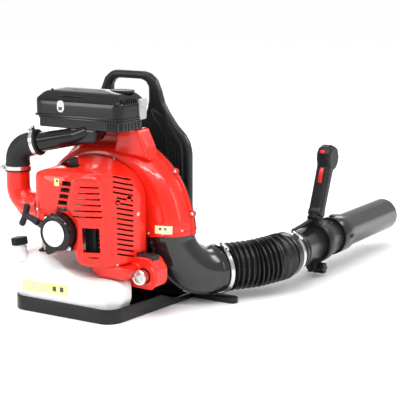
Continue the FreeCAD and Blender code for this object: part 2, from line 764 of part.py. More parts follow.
def starter_housing():
    """The round recoil starter housing with its pointed lower tab and rope outlet."""
    radius = d.starter_radius
    profile = [(4, d.starter_face), (30, d.starter_face), (31, d.starter_face + 2), (radius - 4, d.starter_face + 2),
               (radius, d.starter_face + 8), (radius, d.starter_back), (radius - 3, d.starter_back),
               (radius - 3, d.starter_face + 9), (radius - 7, d.starter_face + 5), (4, d.starter_face + 3)]
    shell = turned([(r, y) for r, y in profile], (0, 0, d.crank_up), Y_AXIS)
    tab = prism("XZ", [(-21, d.crank_up - 24), (-19, d.crank_up - 46), (8, d.crank_up - 34)],
                d.starter_face + 1, d.starter_face + 14)
    tab = cut(tab, rod(radius - 1, 60, (0, d.starter_face - 10, d.crank_up), Y_AXIS))
    post = rod(5, 27, (0, d.starter_face + 1, d.crank_up), Y_AXIS)
    outlet = rod(8, 16, (-33, d.rope_y, d.crank_up + 10), PULL)
    rope_hole = rod(3.2, 60, (-20, d.rope_y, d.crank_up + 5), PULL)
    legs = []
    for angle in (35, 120, 215, 325):
        x = 35 * math.cos(math.radians(angle))
        z = float(d.crank_up) + 35 * math.sin(math.radians(angle))
        legs.append(rod(4, 14, (x, -246, z), Y_AXIS))
    finish(cut(fuse(shell, tab, post, outlet, *legs), rope_hole), "starter_housing")


def starter_pulley():
    """The rope pulley that the recoil spring winds back."""
    up = d.crank_up
    wheel = turned([(5 + d.running_gap, -276), (30, -276), (30, -274), (22, -272), (22, -266), (30, -264),
                    (30, -262), (5 + d.running_gap, -262)], (0, 0, up), Y_AXIS)
    finish(wheel, "starter_pulley")


def recoil_spring():
    """The flat coil spring between the pulley and the housing."""
    coils = [ring(r + 0.6, r, 4, (0, -281.5, d.crank_up), Y_AXIS) for r in (10, 14, 18, 22, 26)]
    bridge = box((10.2, 26.2), (-280.5, -278.5),
                 (d.crank_up - 0.5, d.crank_up + 0.5))
    finish(fuse(bridge, *coils), "recoil_spring")


def pull_start():
    """The T handle and the rope that runs from the pulley to it."""
    root = Vector(-20, float(d.rope_y), float(d.crank_up) + 5)
    stem_start = root + PULL * 33.5
    grip_middle = root + PULL * 72
    across = Vector(0.62, 0, 0.785)
    stem = cone(8, 6, 34, tuple(stem_start), PULL)
    grip = rod(7.5, 50, tuple(grip_middle - across * 25), across)
    caps = [ball(7.5, tuple(grip_middle - across * 25)), ball(7.5, tuple(grip_middle + across * 25))]
    bore = rod(2.4, 20, tuple(stem_start - PULL), PULL)
    finish(cut(fuse(stem, grip, *caps), bore), "pull_handle")
    rope = rod(2, 36, tuple(root + PULL * 13), PULL)
    finish(rope, "starter_rope")


# ---------------------------------------------------------------- fuel

def fuel_tank():
    """The hollow fuel tank, high on the filler side and low under the engine."""
    outline = [(-122, d.tank_bottom), (116, d.tank_bottom), (122, 32), (d.tank_right, 40), (d.tank_right, 74),
               (116, d.tank_low), (34, d.tank_low + 2), (-34, d.tank_high), (-132, d.tank_high),
               (d.tank_left, 114), (d.tank_left, 46), (-124, 33)]
    block = prism("XZ", outline, d.tank_front, d.tank_rear)
    outer = rounded(block, 5, lambda e: abs(e.CenterOfMass.y - float(d.tank_front)) < 0.1)
    guard_space = box((80, d.tank_right + 1), (-188, d.tank_rear + 1), (0, 140))
    corners = [guard_space,
               prism("XY", [(d.tank_right + 1, d.tank_front - 1), (96, d.tank_front - 1),
                            (d.tank_right + 1, -214)], 0, 140),
               prism("XY", [(d.tank_left - 1, d.tank_front - 1), (-98, d.tank_front - 1), (d.tank_left - 1, -225)],
                     0, 34),
               prism("XY", [(d.tank_left - 1, d.tank_front - 1), (-119, d.tank_front - 1), (d.tank_left - 1, -240)],
                     34, 140)]
    clear = 3
    room = prism("XZ", [(-119, 7), (113, 7), (119, 33), (125, 41), (125, 73), (115, d.tank_low - clear),
                        (33, d.tank_low - 1), (-35, d.tank_high - clear), (-131, d.tank_high - clear),
                        (-137, 113), (-137, 47), (-121, 34)], d.tank_front + clear, d.tank_rear - clear)
    room = cut(room, box((77, d.tank_right + 1), (-191, d.tank_rear + 1), (0, 140)),
               prism("XY", [(d.tank_right + 1, d.tank_front - 1), (91, d.tank_front - 1), (d.tank_right + 1, -209)],
                     0, 140),
               prism("XY", [(d.tank_left - 1, d.tank_front - 1), (-93, d.tank_front - 1), (d.tank_left - 1, -221)],
                     0, 140))
    neck_way = Vector(-0.14, 0, 0.99)
    foot = (d.neck_x, d.neck_y, 114)
    neck = rod(13.4, 27, foot, neck_way)
    throat = rod(11, 34, foot, neck_way)
    line_hole = rod(7, 20, (-88, -212, 110))
    finish(cut(fuse(cut(outer, room, *corners), neck), throat, line_hole), "fuel_tank")


def tank_cap():
    """The ribbed filler cap."""
    way = Vector(-0.14, 0, 0.99)
    base = Vector(float(d.neck_x), float(d.neck_y), 114) + way * 21
    cap = rod(d.cap_radius, d.cap_tall, tuple(base), way)
    room = rod(13.45, 8, tuple(base - way), way)
    ribs = []
    for index in range(24):
        rib = Part.makeBox(2.4, 1.6, float(d.cap_tall) - 4, Vector(float(d.cap_radius) - 1.2, -0.8, 2))
        rib.rotate(Vector(), Z_AXIS, index * 15)
        rib.Placement = Placement(base, Rotation(Z_AXIS, way)).multiply(rib.Placement)
        ribs.append(feature(rib))
    finish(cut(fuse(cap, *ribs), room), "tank_cap")


def fuel_lines():
    """The grommet in the tank and the hose from it to the carburettor."""
    finish(turned([(3.25, 118), (6.95, 118), (6.95, d.tank_high), (11, d.tank_high), (9, 127), (3.25, 127)],
                  (-88, -212, 0)), "fuel_grommet")
    line = pipe([(-88, -212, 60), (-88, -212, 148), (-80, -199, 172), (-80, -199, 200)], [16, 9], 3.2, 1.8)
    finish(line, "fuel_line")


# ---------------------------------------------------------------- air cleaner

def case_outline(grow, z_low, z_high):
    """The rounded plan of the air cleaner between two heights."""
    block = box((d.case_left - grow, d.case_right + grow), (d.case_front - grow, d.case_rear + grow),
                (z_low, z_high))
    return rounded(block, 20 + grow, lambda e: runs_along(e, Z_AXIS))


def cleaner():
    """The air cleaner's case, lid and filter."""
    wall = float(d.case_wall)
    tray = cut(case_outline(0, d.case_bottom, d.case_top), case_outline(-wall, d.case_bottom + wall, d.case_top + 1))
    way_down = rod(d.duct_radius - 3, 60, (-10, d.case_front + 14, 376), Vector(0.97, 0, 0.236))
    trough = rod(d.duct_radius + 0.1, 70, (-8, d.case_front + 14, 372), Vector(-52, -4, -11))
    finish(cut(tray, way_down, trough), "cleaner_case")
    low = d.case_top + float(d.body_gap)
    dome = prism("YZ", [(d.case_front - 2, low), (d.case_front - 2, d.lid_shoulder - 12), (-182, d.lid_shoulder),
                        (-150, d.lid_top - 3), (-128, d.lid_top), (-106, d.lid_top - 6),
                        (d.case_rear + 2, d.lid_shoulder - 12), (d.case_rear + 2, low)],
                 d.case_left - 2, d.case_right + 2)
    body = common(dome, case_outline(1, low, d.lid_top + 5))
    ends = prism("XZ", [(d.case_left - 2, low), (d.case_right + 2, low), (d.case_right + 2, d.lid_shoulder - 6),
                        (78, d.lid_top - 6), (30, d.lid_top + 1), (-60, d.lid_top + 1), (-98, d.lid_top - 6),
                        (d.case_left - 2, d.lid_shoulder - 6)], d.case_front - 4, d.case_rear + 4)
    body = common(body, ends)
    room = case_outline(-1.5, low - 1, d.lid_shoulder - 14)
    crown_room = box((-84, 62), (-170, -112), (low, d.lid_top - 10))
    knob = rod(7, 14, (-92, -166, 444))
    finish(fuse(cut(body, room, crown_room), knob), "cleaner_lid")
    finish(box((-96, 76), (-154, -112), (d.case_bottom + wall, 430)),
           "filter_element")


def latches():
    """The two side latches of the air cleaner."""
    y = (-124, -102)
    for side, face, label in ((-1, d.case_left - 1.5, "latch_left"), (1, d.case_right + 1.5, "latch_right")):
        plate = box(sorted((face, face + side * 5), key=float), y, (402, 446))
        lip = box(sorted((face, face + side * 9), key=float), y, (402, 407))
        pin = rod(3, 22, (face + side * 3.5, y[0], 404), Y_AXIS)
        finish(fuse(plate, lip, pin), label)


def cleaner_bracket():
    """The red pedestal that carries the air cleaner on the fan case."""
    block = prism("XZ", [(-88, 332), (112, 332), (94, d.case_bottom), (-74, d.case_bottom)], -152, -96)
    hollow = prism("XZ", [(-76, 320), (98, 320), (84, 374), (-64, 374)], -146, -90)
    solid = cut(block, hollow)
    doc.recompute()
    over_cover = Part.makeBox(220, 40, 60, Vector(-100, float(d.cover_rear) - 40, float(d.cover_top) - 60))
    finish(feature(solid.Shape.cut([scroll_solid(0), over_cover])), "cleaner_bracket")


DUCT_CORNER = Vector(-60, -180, 361)


def duct_line():
    """The duct's direction towards the rubber elbow and the elbow's corner above the horn."""
    corner = Vector(float(d.horn_x), float(d.cylinder_at), 335)
    return (corner - DUCT_CORNER).normalize(), corner


def intake_duct():
    """The plastic duct from the air cleaner and the rubber elbow down to the horn."""
    way, corner = duct_line()
    first = (-8, float(d.case_front) + 14, 372)
    duct = pipe([first, DUCT_CORNER, DUCT_CORNER + way * 68], [60], d.duct_radius, float(d.duct_radius) - 2.5)
    finish(duct, "cleaner_duct")
    start = DUCT_CORNER + way * 54
    elbow = pipe([start, corner, (d.horn_x, d.cylinder_at, 284)], [30], d.boot_radius, float(d.horn_radius) + 0.2)
    sleeve = Part.makeCylinder(float(d.boot_radius), 12, start, way)
    bore = Part.makeCylinder(float(d.duct_radius) + 0.2, 12, start, way)
    finish(feature(elbow.Shape.fuse(sleeve.cut(bore))), "rubber_elbow")


def hose_clamps():
    """The three band clamps: on the duct, on the intake horn and on the outlet elbow."""
    way, corner = duct_line()
    inner = d.boot_radius + 0.2
    duct_clamp = ring(d.boot_radius + 2, inner, 9, tuple(DUCT_CORNER + way * 56), way)
    horn_clamp = ring(d.boot_radius + 2, inner, 9, (d.horn_x, d.cylinder_at, 287))
    way, end = elbow_exit()
    hose_clamp = ring(55, 53.2, 9, tuple(end - way * 9), way)
    finish(group(duct_clamp, horn_clamp, hose_clamp), "hose_clamps")


# ---------------------------------------------------------------- air path: elbow, hose and tubes

def outlet_line():
    """The middle of the fan case's outlet and the direction out of it."""
    lean = math.radians(float(d.outlet_lean))
    down = Vector(math.sin(lean), 0, -math.cos(lean))
    return Vector(float(d.outlet_x), float(d.scroll_split), float(d.outlet_z)), down


def elbow_exit():
    """The direction and the end point of the outlet elbow."""
    mouth, down = outlet_line()
    way = Vector(0.34, 0.94, 0.02).normalize()
    corner = mouth + down * float(d.elbow_bend)
    return way, corner + way * (float(d.elbow_bend) + float(d.elbow_lead))


def outlet_elbow():
    """The moulded elbow from the fan case to the hose."""
    mouth, down = outlet_line()
    way, end = elbow_exit()
    corner = mouth + down * float(d.elbow_bend)
    elbow = pipe([mouth - down * 14, corner, end], [float(d.elbow_bend) * 0.97], d.elbow_radius,
                 float(d.elbow_radius) - 2.5)
    finish(elbow, "outlet_elbow")


HOSE_MIDDLE = Vector(252, 97, 71)
HOSE_WAY = Vector(0.567, 0.817, 0.077).normalize()


def bellows_hose():
    """The bellows hose in two halves with a stiff ring between them."""
    way, end = elbow_exit()
    inner = float(d.hose_radius) - float(d.hose_wall)
    start = end - way * 12
    first_bend = end + way * 16
    rear = pipe([start, first_bend, HOSE_MIDDLE - HOSE_WAY * 5.8], [62], 53, 48.4)
    finish(rear, "hose_rear")
    finish(ring(d.hose_radius, inner, 4, tuple(HOSE_MIDDLE - HOSE_WAY * 2), HOSE_WAY), "hose_ring")
    tube_mouth = Vector(float(d.tube_x), float(d.tube_start) + 18, float(d.tube_z))
    second_bend = Vector(float(d.tube_x), 148, float(d.tube_z))
    front = pipe([HOSE_MIDDLE + HOSE_WAY * 5.8, second_bend, tube_mouth], [58], 50, 42)
    finish(front, "hose_front")


def tube_point(y):
    """A point on the tube's axis."""
    return (d.tube_x, y, d.tube_z)


def control_tube():
    """The tube that the handle is clamped to, with its front beads and bayonet lug."""
    inner = d.tube_radius - d.tube_wall
    start = d.tube_start
    tube = rod(d.tube_radius, d.tube_joint + d.joint_overlap - start, tube_point(start), Y_AXIS)
    beads = [rod(d.tube_radius + 2, 4, tube_point(y), Y_AXIS) for y in (198, 208, 222)]
    clamp = rod(52.5, 9, tube_point(176), Y_AXIS)
    clamp_room = rod(50.3, 9, tube_point(176), Y_AXIS)
    bore = rod(inner, 400, tube_point(start - 5), Y_AXIS)
    finish(cut(fuse(tube, *beads), bore), "control_tube")
    finish(cut(clamp, clamp_room), "tube_clamp")


def end_tube():
    """The end tube with its bayonet socket."""
    socket_start = d.tube_joint + 0.6
    outer = turned([(d.tube_radius + 0.4, socket_start), (d.tube_radius + 3.5, socket_start),
                    (d.tube_radius + 3.5, socket_start + 48), (d.end_radius, socket_start + 60),
                    (d.end_radius, d.tube_end), (d.end_radius - d.tube_wall, d.tube_end),
                    (d.end_radius - d.tube_wall, socket_start + 58), (d.tube_radius + 0.4, socket_start + 46)],
                   (d.tube_x, 0, d.tube_z), Y_AXIS)
    lug = box((d.tube_x - 4, d.tube_x + 4), (socket_start + 6, socket_start + 22),
              (d.tube_z + 43, d.tube_z + 50))
    mark = box((d.tube_x + 43, d.tube_x + 49), (socket_start + 26, socket_start + 40),
               (d.tube_z - 4, d.tube_z + 4))
    finish(fuse(outer, lug, mark), "end_tube")


def handle_clamp():
    """The split band around the control tube that carries the handle and the knob screw."""
    low = d.band_y - d.band_wide / 2
    band = rod(d.tube_radius + 6, d.band_wide, tube_point(low), Y_AXIS)
    seat = box((d.tube_x - 15, d.tube_x + 15), (low, low + d.band_wide), (d.tube_z + 40, d.tube_z + 62))
    ears = box((d.tube_x - 12, d.tube_x + 12), (low, low + d.band_wide), (d.tube_z - 70, d.tube_z - 40))
    slit = box((d.tube_x - 2, d.tube_x + 2), (low - 1, low + d.band_wide + 1), (d.tube_z - 74, d.tube_z - 38))
    bore = rod(d.tube_radius + 0.3, 60, tube_point(low - 5), Y_AXIS)
    screw = rod(3.2 + d.running_gap, 60, (d.tube_x - 30, d.band_y, d.tube_z - 60), X_AXIS)
    finish(cut(fuse(band, seat, ears), bore, slit, screw), "handle_clamp")


def clamp_knob():
    """The lobed knob, its screw and its nut under the handle clamp."""
    y = d.band_y
    z = d.tube_z - 60
    screw = rod(3.2, 44, (d.tube_x - 20, y, z), X_AXIS)
    head = rod(9, 14, (d.tube_x + 12.6, y, z), X_AXIS)
    nut = rod(7, 6, (d.tube_x - 19, y, z), X_AXIS)
    lobes = []
    for turn in range(0, 360, 60):
        way = math.radians(turn)
        lobes.append(rod(4, 14, (d.tube_x + 12.6, y + 9 * math.cos(way), z + 9 * math.sin(way)), X_AXIS))
    finish(fuse(screw, head, nut, *lobes), "clamp_knob")


GRIP_LEAN = 22


def grip_point(along, up):
    """A point in the handle's own upright plane, turned to its lean."""
    lean = math.radians(GRIP_LEAN)
    y = along * math.cos(lean) + up * math.sin(lean)
    z = up * math.cos(lean) - along * math.sin(lean)
    return (float(d.band_y) + y, float(d.tube_z) + 58 + z)


def control_grip():
    """The upright pistol grip with its head, trigger slot and switch seat."""
    middle = float(d.tube_x)
    outline = [grip_point(a, u) for a, u in ((-15, 4), (14, 4), (14, 14), (12, 20), (13, 120), (26, 128), (30, 150),
                                             (16, 172), (-10, 174), (-24, 160), (-22, 140), (-13, 120), (-13, 20),
                                             (-15, 14))]
    grip = prism("YZ", outline, middle - 15, middle + 15)
    grip = rounded(grip, 6, lambda e: not runs_along(e, X_AXIS) and e.Length > 6)
    trigger_slot = prism("YZ", [grip_point(a, u) for a, u in ((-1.5, 77), (16, 77), (16, 119), (-1.5, 119))],
                         middle - 6, middle + 6)
    lock_slot = prism("YZ", [grip_point(a, u) for a, u in ((-16, 77), (-3.5, 77), (-3.5, 119), (-16, 119))],
                      middle - 5, middle + 5)
    switch_slot = prism("YZ", [grip_point(a, u) for a, u in ((-28, 145), (-14, 145), (-14, 159.5), (-28, 159.5))],
                        middle - 6, middle + 6)
    seat = box((d.tube_x - 16, d.tube_x + 16), (d.band_y - 40, d.band_y + 40), (d.tube_z + 40, d.tube_z + 62))
    finish(cut(grip, trigger_slot, lock_slot, switch_slot, seat), "control_grip")


def grip_controls():
    """The throttle trigger, the lockout lever and the stop switch."""
    middle = float(d.tube_x)
    trigger = prism("YZ", [grip_point(a, u) for a, u in ((6, 80), (13, 82), (20, 92), (19, 98), (15, 104), (14, 117),
                                                         (6, 117))], middle - 5.5, middle + 5.5)
    finish(trigger, "trigger")
    lock = prism("YZ", [grip_point(a, u) for a, u in ((-7, 79), (-14, 80), (-18, 100), (-17, 112), (-14, 117),
                                                      (-7, 117))], middle - 4.5, middle + 4.5)
    finish(lock, "lockout_lever")
    switch = prism("YZ", [grip_point(a, u) for a, u in ((-31, 147), (-15, 147), (-15, 154), (-31, 154))],
                   middle - 5.5, middle + 5.5)
    finish(switch, "stop_switch")


def cable_conduit():
    """The throttle cable's sleeve from the grip down to the tube."""
    x = float(d.tube_x)
    z = float(d.tube_z)
    band = float(d.band_y)
    start = (x, band - 13, z + 56)
    sleeve = pipe([start, (x, band - 34, z + 56), (x, band - 76, z + 51), (x, band - 112, z + 47.8)],
                  [30, 60], 4)
    finish(sleeve, "cable_conduit")


# ---------------------------------------------------------------- build, check and export

def build():
    base_plate()
    foot_bar()
    back_frame()
    back_pad()
    shoulder_straps()
    strap_buckles()
    isolator_mounts()
    fan_case()
    fan_impeller()
    shell_screws()
    crankcase()
    crank_bearings()
    crankshaft()
    connecting_rod()
    piston()
    cylinder()
    spark_plug()
    plug_boot()
    ignition_coil()
    flywheel()
    carburettor()
    choke_lever()
    intake_horn()
    muffler()
    exhaust_pipe()
    muffler_guard()
    engine_cover()
    starter_housing()
    starter_pulley()
    recoil_spring()
    pull_start()
    fuel_tank()
    tank_cap()
    fuel_lines()
    cleaner()
    latches()
    cleaner_bracket()
    intake_duct()
    hose_clamps()
    outlet_elbow()
    bellows_hose()
    control_tube()
    end_tube()
    handle_clamp()
    clamp_knob()
    control_grip()
    grip_controls()
    cable_conduit()


def check_and_export():
    """Stop on any failed object or bad shape, then write one STEP file for each sub-part."""
    doc.recompute()
    for obj in doc.Objects:
        if "Invalid" in obj.State or "Error" in obj.State:
            raise RuntimeError("%s (%s) failed: %s" % (obj.Name, obj.Label, obj.State))
    os.makedirs("parts", exist_ok=True)
    for obj in subparts:
        if obj.Shape.isNull() or not obj.Shape.isValid():
            raise RuntimeError("%s has a bad shape" % obj.Label)
        obj.Shape.exportStep(os.path.join("parts", obj.Label + ".step"))
        print("%-22s %d solid(s) %10.0f mm3" % (obj.Label, len(obj.Shape.Solids), obj.Shape.Volume))


build()
check_and_export()
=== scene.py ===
import json
import math

import bmesh
import bpy
from mathutils import Matrix, Vector
from mathutils.bvhtree import BVHTree

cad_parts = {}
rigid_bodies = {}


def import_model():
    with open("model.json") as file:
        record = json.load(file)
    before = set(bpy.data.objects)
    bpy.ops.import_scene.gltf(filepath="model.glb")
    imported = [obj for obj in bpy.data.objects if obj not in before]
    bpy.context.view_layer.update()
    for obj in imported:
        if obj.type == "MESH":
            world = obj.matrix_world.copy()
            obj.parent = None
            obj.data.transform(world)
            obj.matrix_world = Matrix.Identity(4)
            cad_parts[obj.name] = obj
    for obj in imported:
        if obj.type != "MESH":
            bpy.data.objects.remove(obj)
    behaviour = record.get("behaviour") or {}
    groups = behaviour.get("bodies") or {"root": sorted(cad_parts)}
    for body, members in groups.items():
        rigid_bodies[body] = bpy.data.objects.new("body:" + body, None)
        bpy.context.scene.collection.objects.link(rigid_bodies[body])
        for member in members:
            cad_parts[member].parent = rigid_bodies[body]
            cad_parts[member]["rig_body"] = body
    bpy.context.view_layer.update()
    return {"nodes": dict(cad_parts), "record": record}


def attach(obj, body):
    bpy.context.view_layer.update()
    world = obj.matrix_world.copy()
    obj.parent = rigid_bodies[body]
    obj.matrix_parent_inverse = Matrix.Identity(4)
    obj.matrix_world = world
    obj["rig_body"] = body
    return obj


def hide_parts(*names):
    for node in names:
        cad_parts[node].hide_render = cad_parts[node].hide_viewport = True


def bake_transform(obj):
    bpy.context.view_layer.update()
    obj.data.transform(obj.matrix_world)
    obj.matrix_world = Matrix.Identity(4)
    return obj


# Backpack leaf blower.

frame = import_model()
NODE_SLOT = {p["node"]: p["material_slot"] for p in frame["record"]["subparts"]}
COVERED = set()
MM = 0.001
X = Vector((1, 0, 0))
Y = Vector((0, 1, 0))
Z = Vector((0, 0, 1))


# ---- materials

def material(name, color, rough=0.4, metal=0.0, coat=0.0, vary=0.12, grain=900.0, bump=0.06, sheen=0.0, specular=0.5):
    """A principled material whose colour, roughness and height come from noise in object space."""
    blotch, rough_vary = 18.0, 0.12
    made = bpy.data.materials.new(name)
    made.use_nodes = True
    tree = made.node_tree
    shader = tree.nodes["Principled BSDF"]
    for socket, value in (("Metallic", metal), ("Coat Weight", coat), ("Coat Roughness", 0.08),
                          ("Sheen Weight", sheen), ("Specular IOR Level", specular)):
        shader.inputs[socket].default_value = value
    place = tree.nodes.new("ShaderNodeTexCoord")
    patches = noise(tree, place, blotch, 4)
    ramp = tree.nodes.new("ShaderNodeValToRGB")
    for stop, position, share in zip(ramp.color_ramp.elements, (0.3, 0.7), (1 - vary, 1 + vary)):
        stop.position = position
        stop.color = tuple(min(1, c * share) for c in color) + (1,)
    tree.links.new(patches.outputs["Fac"], ramp.inputs["Fac"])
    tree.links.new(ramp.outputs["Color"], shader.inputs["Base Color"])
    smudge = noise(tree, place, blotch * 3, 3)
    span = tree.nodes.new("ShaderNodeMapRange")
    span.inputs["To Min"].default_value = max(0.02, rough * (1 - rough_vary))
    span.inputs["To Max"].default_value = min(1, rough * (1 + rough_vary))
    tree.links.new(smudge.outputs["Fac"], span.inputs["Value"])
    tree.links.new(span.outputs["Result"], shader.inputs["Roughness"])
    fine = noise(tree, place, grain, 2)
    relief = tree.nodes.new("ShaderNodeBump")
    relief.inputs["Strength"].default_value = bump
    relief.inputs["Distance"].default_value = 0.0004
    tree.links.new(fine.outputs["Fac"], relief.inputs["Height"])
    tree.links.new(relief.outputs["Normal"], shader.inputs["Normal"])
    return made


def noise(tree, place, scale, detail):
    """A noise texture in object coordinates."""
    made = tree.nodes.new("ShaderNodeTexNoise")
    made.inputs["Scale"].default_value = scale
    made.inputs["Detail"].default_value = detail
    tree.links.new(place.outputs["Object"], made.inputs["Vector"])
    return made


def woven(name, color, scale=1400.0):
    """A fabric whose threads are two crossed waves."""
    made = material(name, color, 0.85, vary=0.2, sheen=0.3, bump=0.2)
    tree = made.node_tree
    place = next(n for n in tree.nodes if n.type == "TEX_COORD")
    relief = next(n for n in tree.nodes if n.type == "BUMP")
    both = tree.nodes.new("ShaderNodeMath")
    both.operation = "MAXIMUM"
    for index, direction in enumerate("XZ"):
        wave = tree.nodes.new("ShaderNodeTexWave")
        wave.bands_direction = direction
        wave.inputs["Scale"].default_value = scale / 6
        wave.inputs["Distortion"].default_value = 0.6
        tree.links.new(place.outputs["Object"], wave.inputs["Vector"])
        tree.links.new(wave.outputs["Fac"], both.inputs[index])
    tree.links.new(both.outputs["Value"], relief.inputs["Height"])
    relief.inputs["Strength"].default_value = 0.5
    return made


RED = material("red_moulding", (0.80, 0.016, 0.006), 0.36, coat=0.5, specular=0.25, vary=0.04, bump=0.02, grain=500)
BLACK = material("black_moulding", (0.012, 0.012, 0.013), 0.36, vary=0.15, bump=0.10, grain=1300, specular=0.25)
FRAME = material("frame_plastic", (0.011, 0.011, 0.012), 0.34, vary=0.15, bump=0.10, grain=1100, specular=0.3)
GLOSS = material("gloss_black", (0.008, 0.008, 0.009), 0.15, vary=0.12, bump=0.01, coat=0.1, specular=0.3)
TUBE = material("tube_plastic", (0.012, 0.012, 0.014), 0.19, vary=0.10, bump=0.02, coat=0.05, specular=0.45)
ELBOW = material("elbow_plastic", (0.014, 0.014, 0.016), 0.18, vary=0.10, bump=0.02, coat=0.25)
RUBBER = material("rubber", (0.010, 0.010, 0.011), 0.50, vary=0.2, bump=0.10, grain=1500, specular=0.35)
HOSE = material("bellows_rubber", (0.008, 0.008, 0.009), 0.26, vary=0.2, bump=0.03)
STEEL = material("bright_steel", (0.72, 0.72, 0.72), 0.22, metal=1.0, vary=0.08, bump=0.05, grain=700)
ALLOY = material("cast_alloy", (0.60, 0.60, 0.61), 0.42, metal=1.0, vary=0.12, bump=0.30, grain=1100)
SOOT = material("sooty_steel", (0.05, 0.05, 0.05), 0.5, metal=0.7, vary=0.2, bump=0.2)
DARK_STEEL = material("dark_steel", (0.33, 0.32, 0.31), 0.40, metal=1.0, vary=0.15, bump=0.10)
TANK = material("tank_plastic", (0.84, 0.84, 0.83), 0.38, vary=0.03, bump=0.04, grain=600, coat=0.1)
FUEL_HOSE = material("fuel_hose", (0.45, 0.26, 0.05), 0.30, vary=0.15, bump=0.03)
CERAMIC = material("ceramic", (0.80, 0.79, 0.75), 0.15, coat=0.7, vary=0.03)
WHITE_DISC = material("white_disc", (0.85, 0.85, 0.86), 0.30, vary=0.02, coat=0.3)
LATCH = material("latch_plastic", (0.42, 0.43, 0.44), 0.30, vary=0.06, coat=0.3)
YELLOW = material("yellow_label", (0.86, 0.80, 0.30), 0.40, vary=0.05, bump=0.02)
CREAM = material("cream_label", (0.88, 0.84, 0.55), 0.40, vary=0.05, bump=0.02)
GREY_LABEL = material("grey_label", (0.62, 0.62, 0.62), 0.45, vary=0.05, bump=0.02)
INK = material("label_ink", (0.06, 0.06, 0.06), 0.50, vary=0.1, bump=0.02)
RED_CONTROL = material("red_control", (0.62, 0.02, 0.012), 0.28, coat=0.4, vary=0.06)
PAPER = material("filter_paper", (0.70, 0.66, 0.52), 0.9, vary=0.1, bump=0.3, grain=400)
WEBBING = woven("webbing", (0.022, 0.022, 0.024))
PAD_CLOTH = woven("pad_cloth", (0.028, 0.028, 0.031), scale=1100)
FLOOR = material("studio_floor", (0.95, 0.95, 0.95), 0.9, vary=0.01, bump=0.02, grain=60, specular=0.1)
milky = TANK.node_tree.nodes["Principled BSDF"].inputs
milky["Subsurface Weight"].default_value = 0.35
milky["Subsurface Radius"].default_value = (0.02, 0.02, 0.02)

SLOT_LOOK = dict(
    frame=FRAME, base=FRAME, pad=PAD_CLOTH, webbing=WEBBING, buckle=BLACK, isolator=RUBBER, red_shell=RED,
    rear_shell=BLACK, fan=BLACK, screw=STEEL, engine_alloy=ALLOY, engine_steel=DARK_STEEL, ceramic=CERAMIC,
    coil=BLACK, boot=RUBBER, muffler_steel=SOOT, exhaust=STEEL, starter=GLOSS, handle=BLACK, rope=WEBBING,
    tank=TANK, cap=BLACK, fuel_hose=FUEL_HOSE, grommet=RUBBER, cleaner=GLOSS, filter=PAPER, latch=LATCH,
    duct=GLOSS, rubber_boot=RUBBER, clamp_band=STEEL, elbow=ELBOW, hose=HOSE, tube=TUBE, grip=BLACK,
    red_control=RED_CONTROL, conduit=BLACK)


# ---- chunks: closed (points, faces) pairs

def soften(points, rounds=2):
    """Corner cutting on a closed outline."""
    for _ in range(rounds):
        fresh = []
        for a, b in zip(points, points[1:] + points[:1]):
            fresh.append(tuple(0.75 * p + 0.25 * q for p, q in zip(a, b)))
            fresh.append(tuple(0.25 * p + 0.75 * q for p, q in zip(a, b)))
        points = fresh
    return points


def rounded(points, radius, steps=5):
    """An outline whose corners are rounded by about a radius."""
    fresh = []
    count = len(points)
    for index in range(count):
        before, corner, after = (Vector(points[(index + k) % count]) for k in (-1, 0, 1))
        inward, outward = before - corner, after - corner
        turn = inward.angle(outward)
        reach = min(radius / max(math.tan(turn / 2), 0.05), 0.49 * inward.length, 0.49 * outward.length)
        a, b = corner + inward.normalized() * reach, corner + outward.normalized() * reach
        for k in range(steps + 1):
            t = k / steps
            fresh.append(tuple(a * (1 - t) ** 2 + corner * 2 * t * (1 - t) + b * t * t))
    return fresh


def loft(rings, looped=False):
    """A closed solid through rings of equal length, capped at both ends or looped back to the first ring."""
    count, rows = len(rings[0]), len(rings)
    points = [tuple(p) for each in rings for p in each]
    faces = [] if looped else [tuple(range(count))[::-1]]
    for row in range(rows if looped else rows - 1):
        here, below = row * count, (row + 1) % rows * count
        for index in range(count):
            following = (index + 1) % count
            faces.append((here + index, here + following, below + following, below + index))
    if not looped:
        faces.append(tuple(range((rows - 1) * count, rows * count)))
    return points, faces


def lift(plane, u, v, level):
    """A point of an outline drawn on a plane, at a level along its normal."""
    return {"XY": (u, v, level), "XZ": (u, level, v), "YZ": (level, u, v)}[plane]


def slab(plane, outline, low, high):
    """An outline extruded between two levels."""
    return loft([[lift(plane, u, v, level) for u, v in outline] for level in (low, high)])


def plate(plane, u, v, corner, low, high):
    """A slab whose outline is a rectangle with rounded corners."""
    return slab(plane, rounded([(u[0], v[0]), (u[1], v[0]), (u[1], v[1]), (u[0], v[1])], corner), low, high)


def block(x, y, z):
    """A box between two coordinates on each axis."""
    return slab("XY", [(x[0], y[0]), (x[1], y[0]), (x[1], y[1]), (x[0], y[1])], z[0], z[1])


def basis(way):
    """Two directions square to a direction."""
    way = Vector(way).normalized()
    side = way.cross(Z if abs(way.z) < 0.9 else X).normalized()
    return side, side.cross(way).normalized()


def ring(middle, side, up, reaches):
    """Points around a middle, one for each reach, in the plane of two directions."""
    turns = [2 * math.pi * k / len(reaches) for k in range(len(reaches))]
    return [middle + (side * math.cos(t) + up * math.sin(t)) * reach for t, reach in zip(turns, reaches)]


def turned(profile, at, along, segments):
    """A ring for each (radius, height) point along a direction."""
    way = Vector(along).normalized()
    side, up = basis(way)
    return [ring(Vector(at) + way * height, side, up, [radius] * segments) for radius, height in profile]


def lathe(profile, at, along=Z, segments=64):
    """A solid turned from (radius, height) points, with both ends capped."""
    return loft(turned([(max(radius, 0.01), height) for radius, height in profile], at, along, segments))


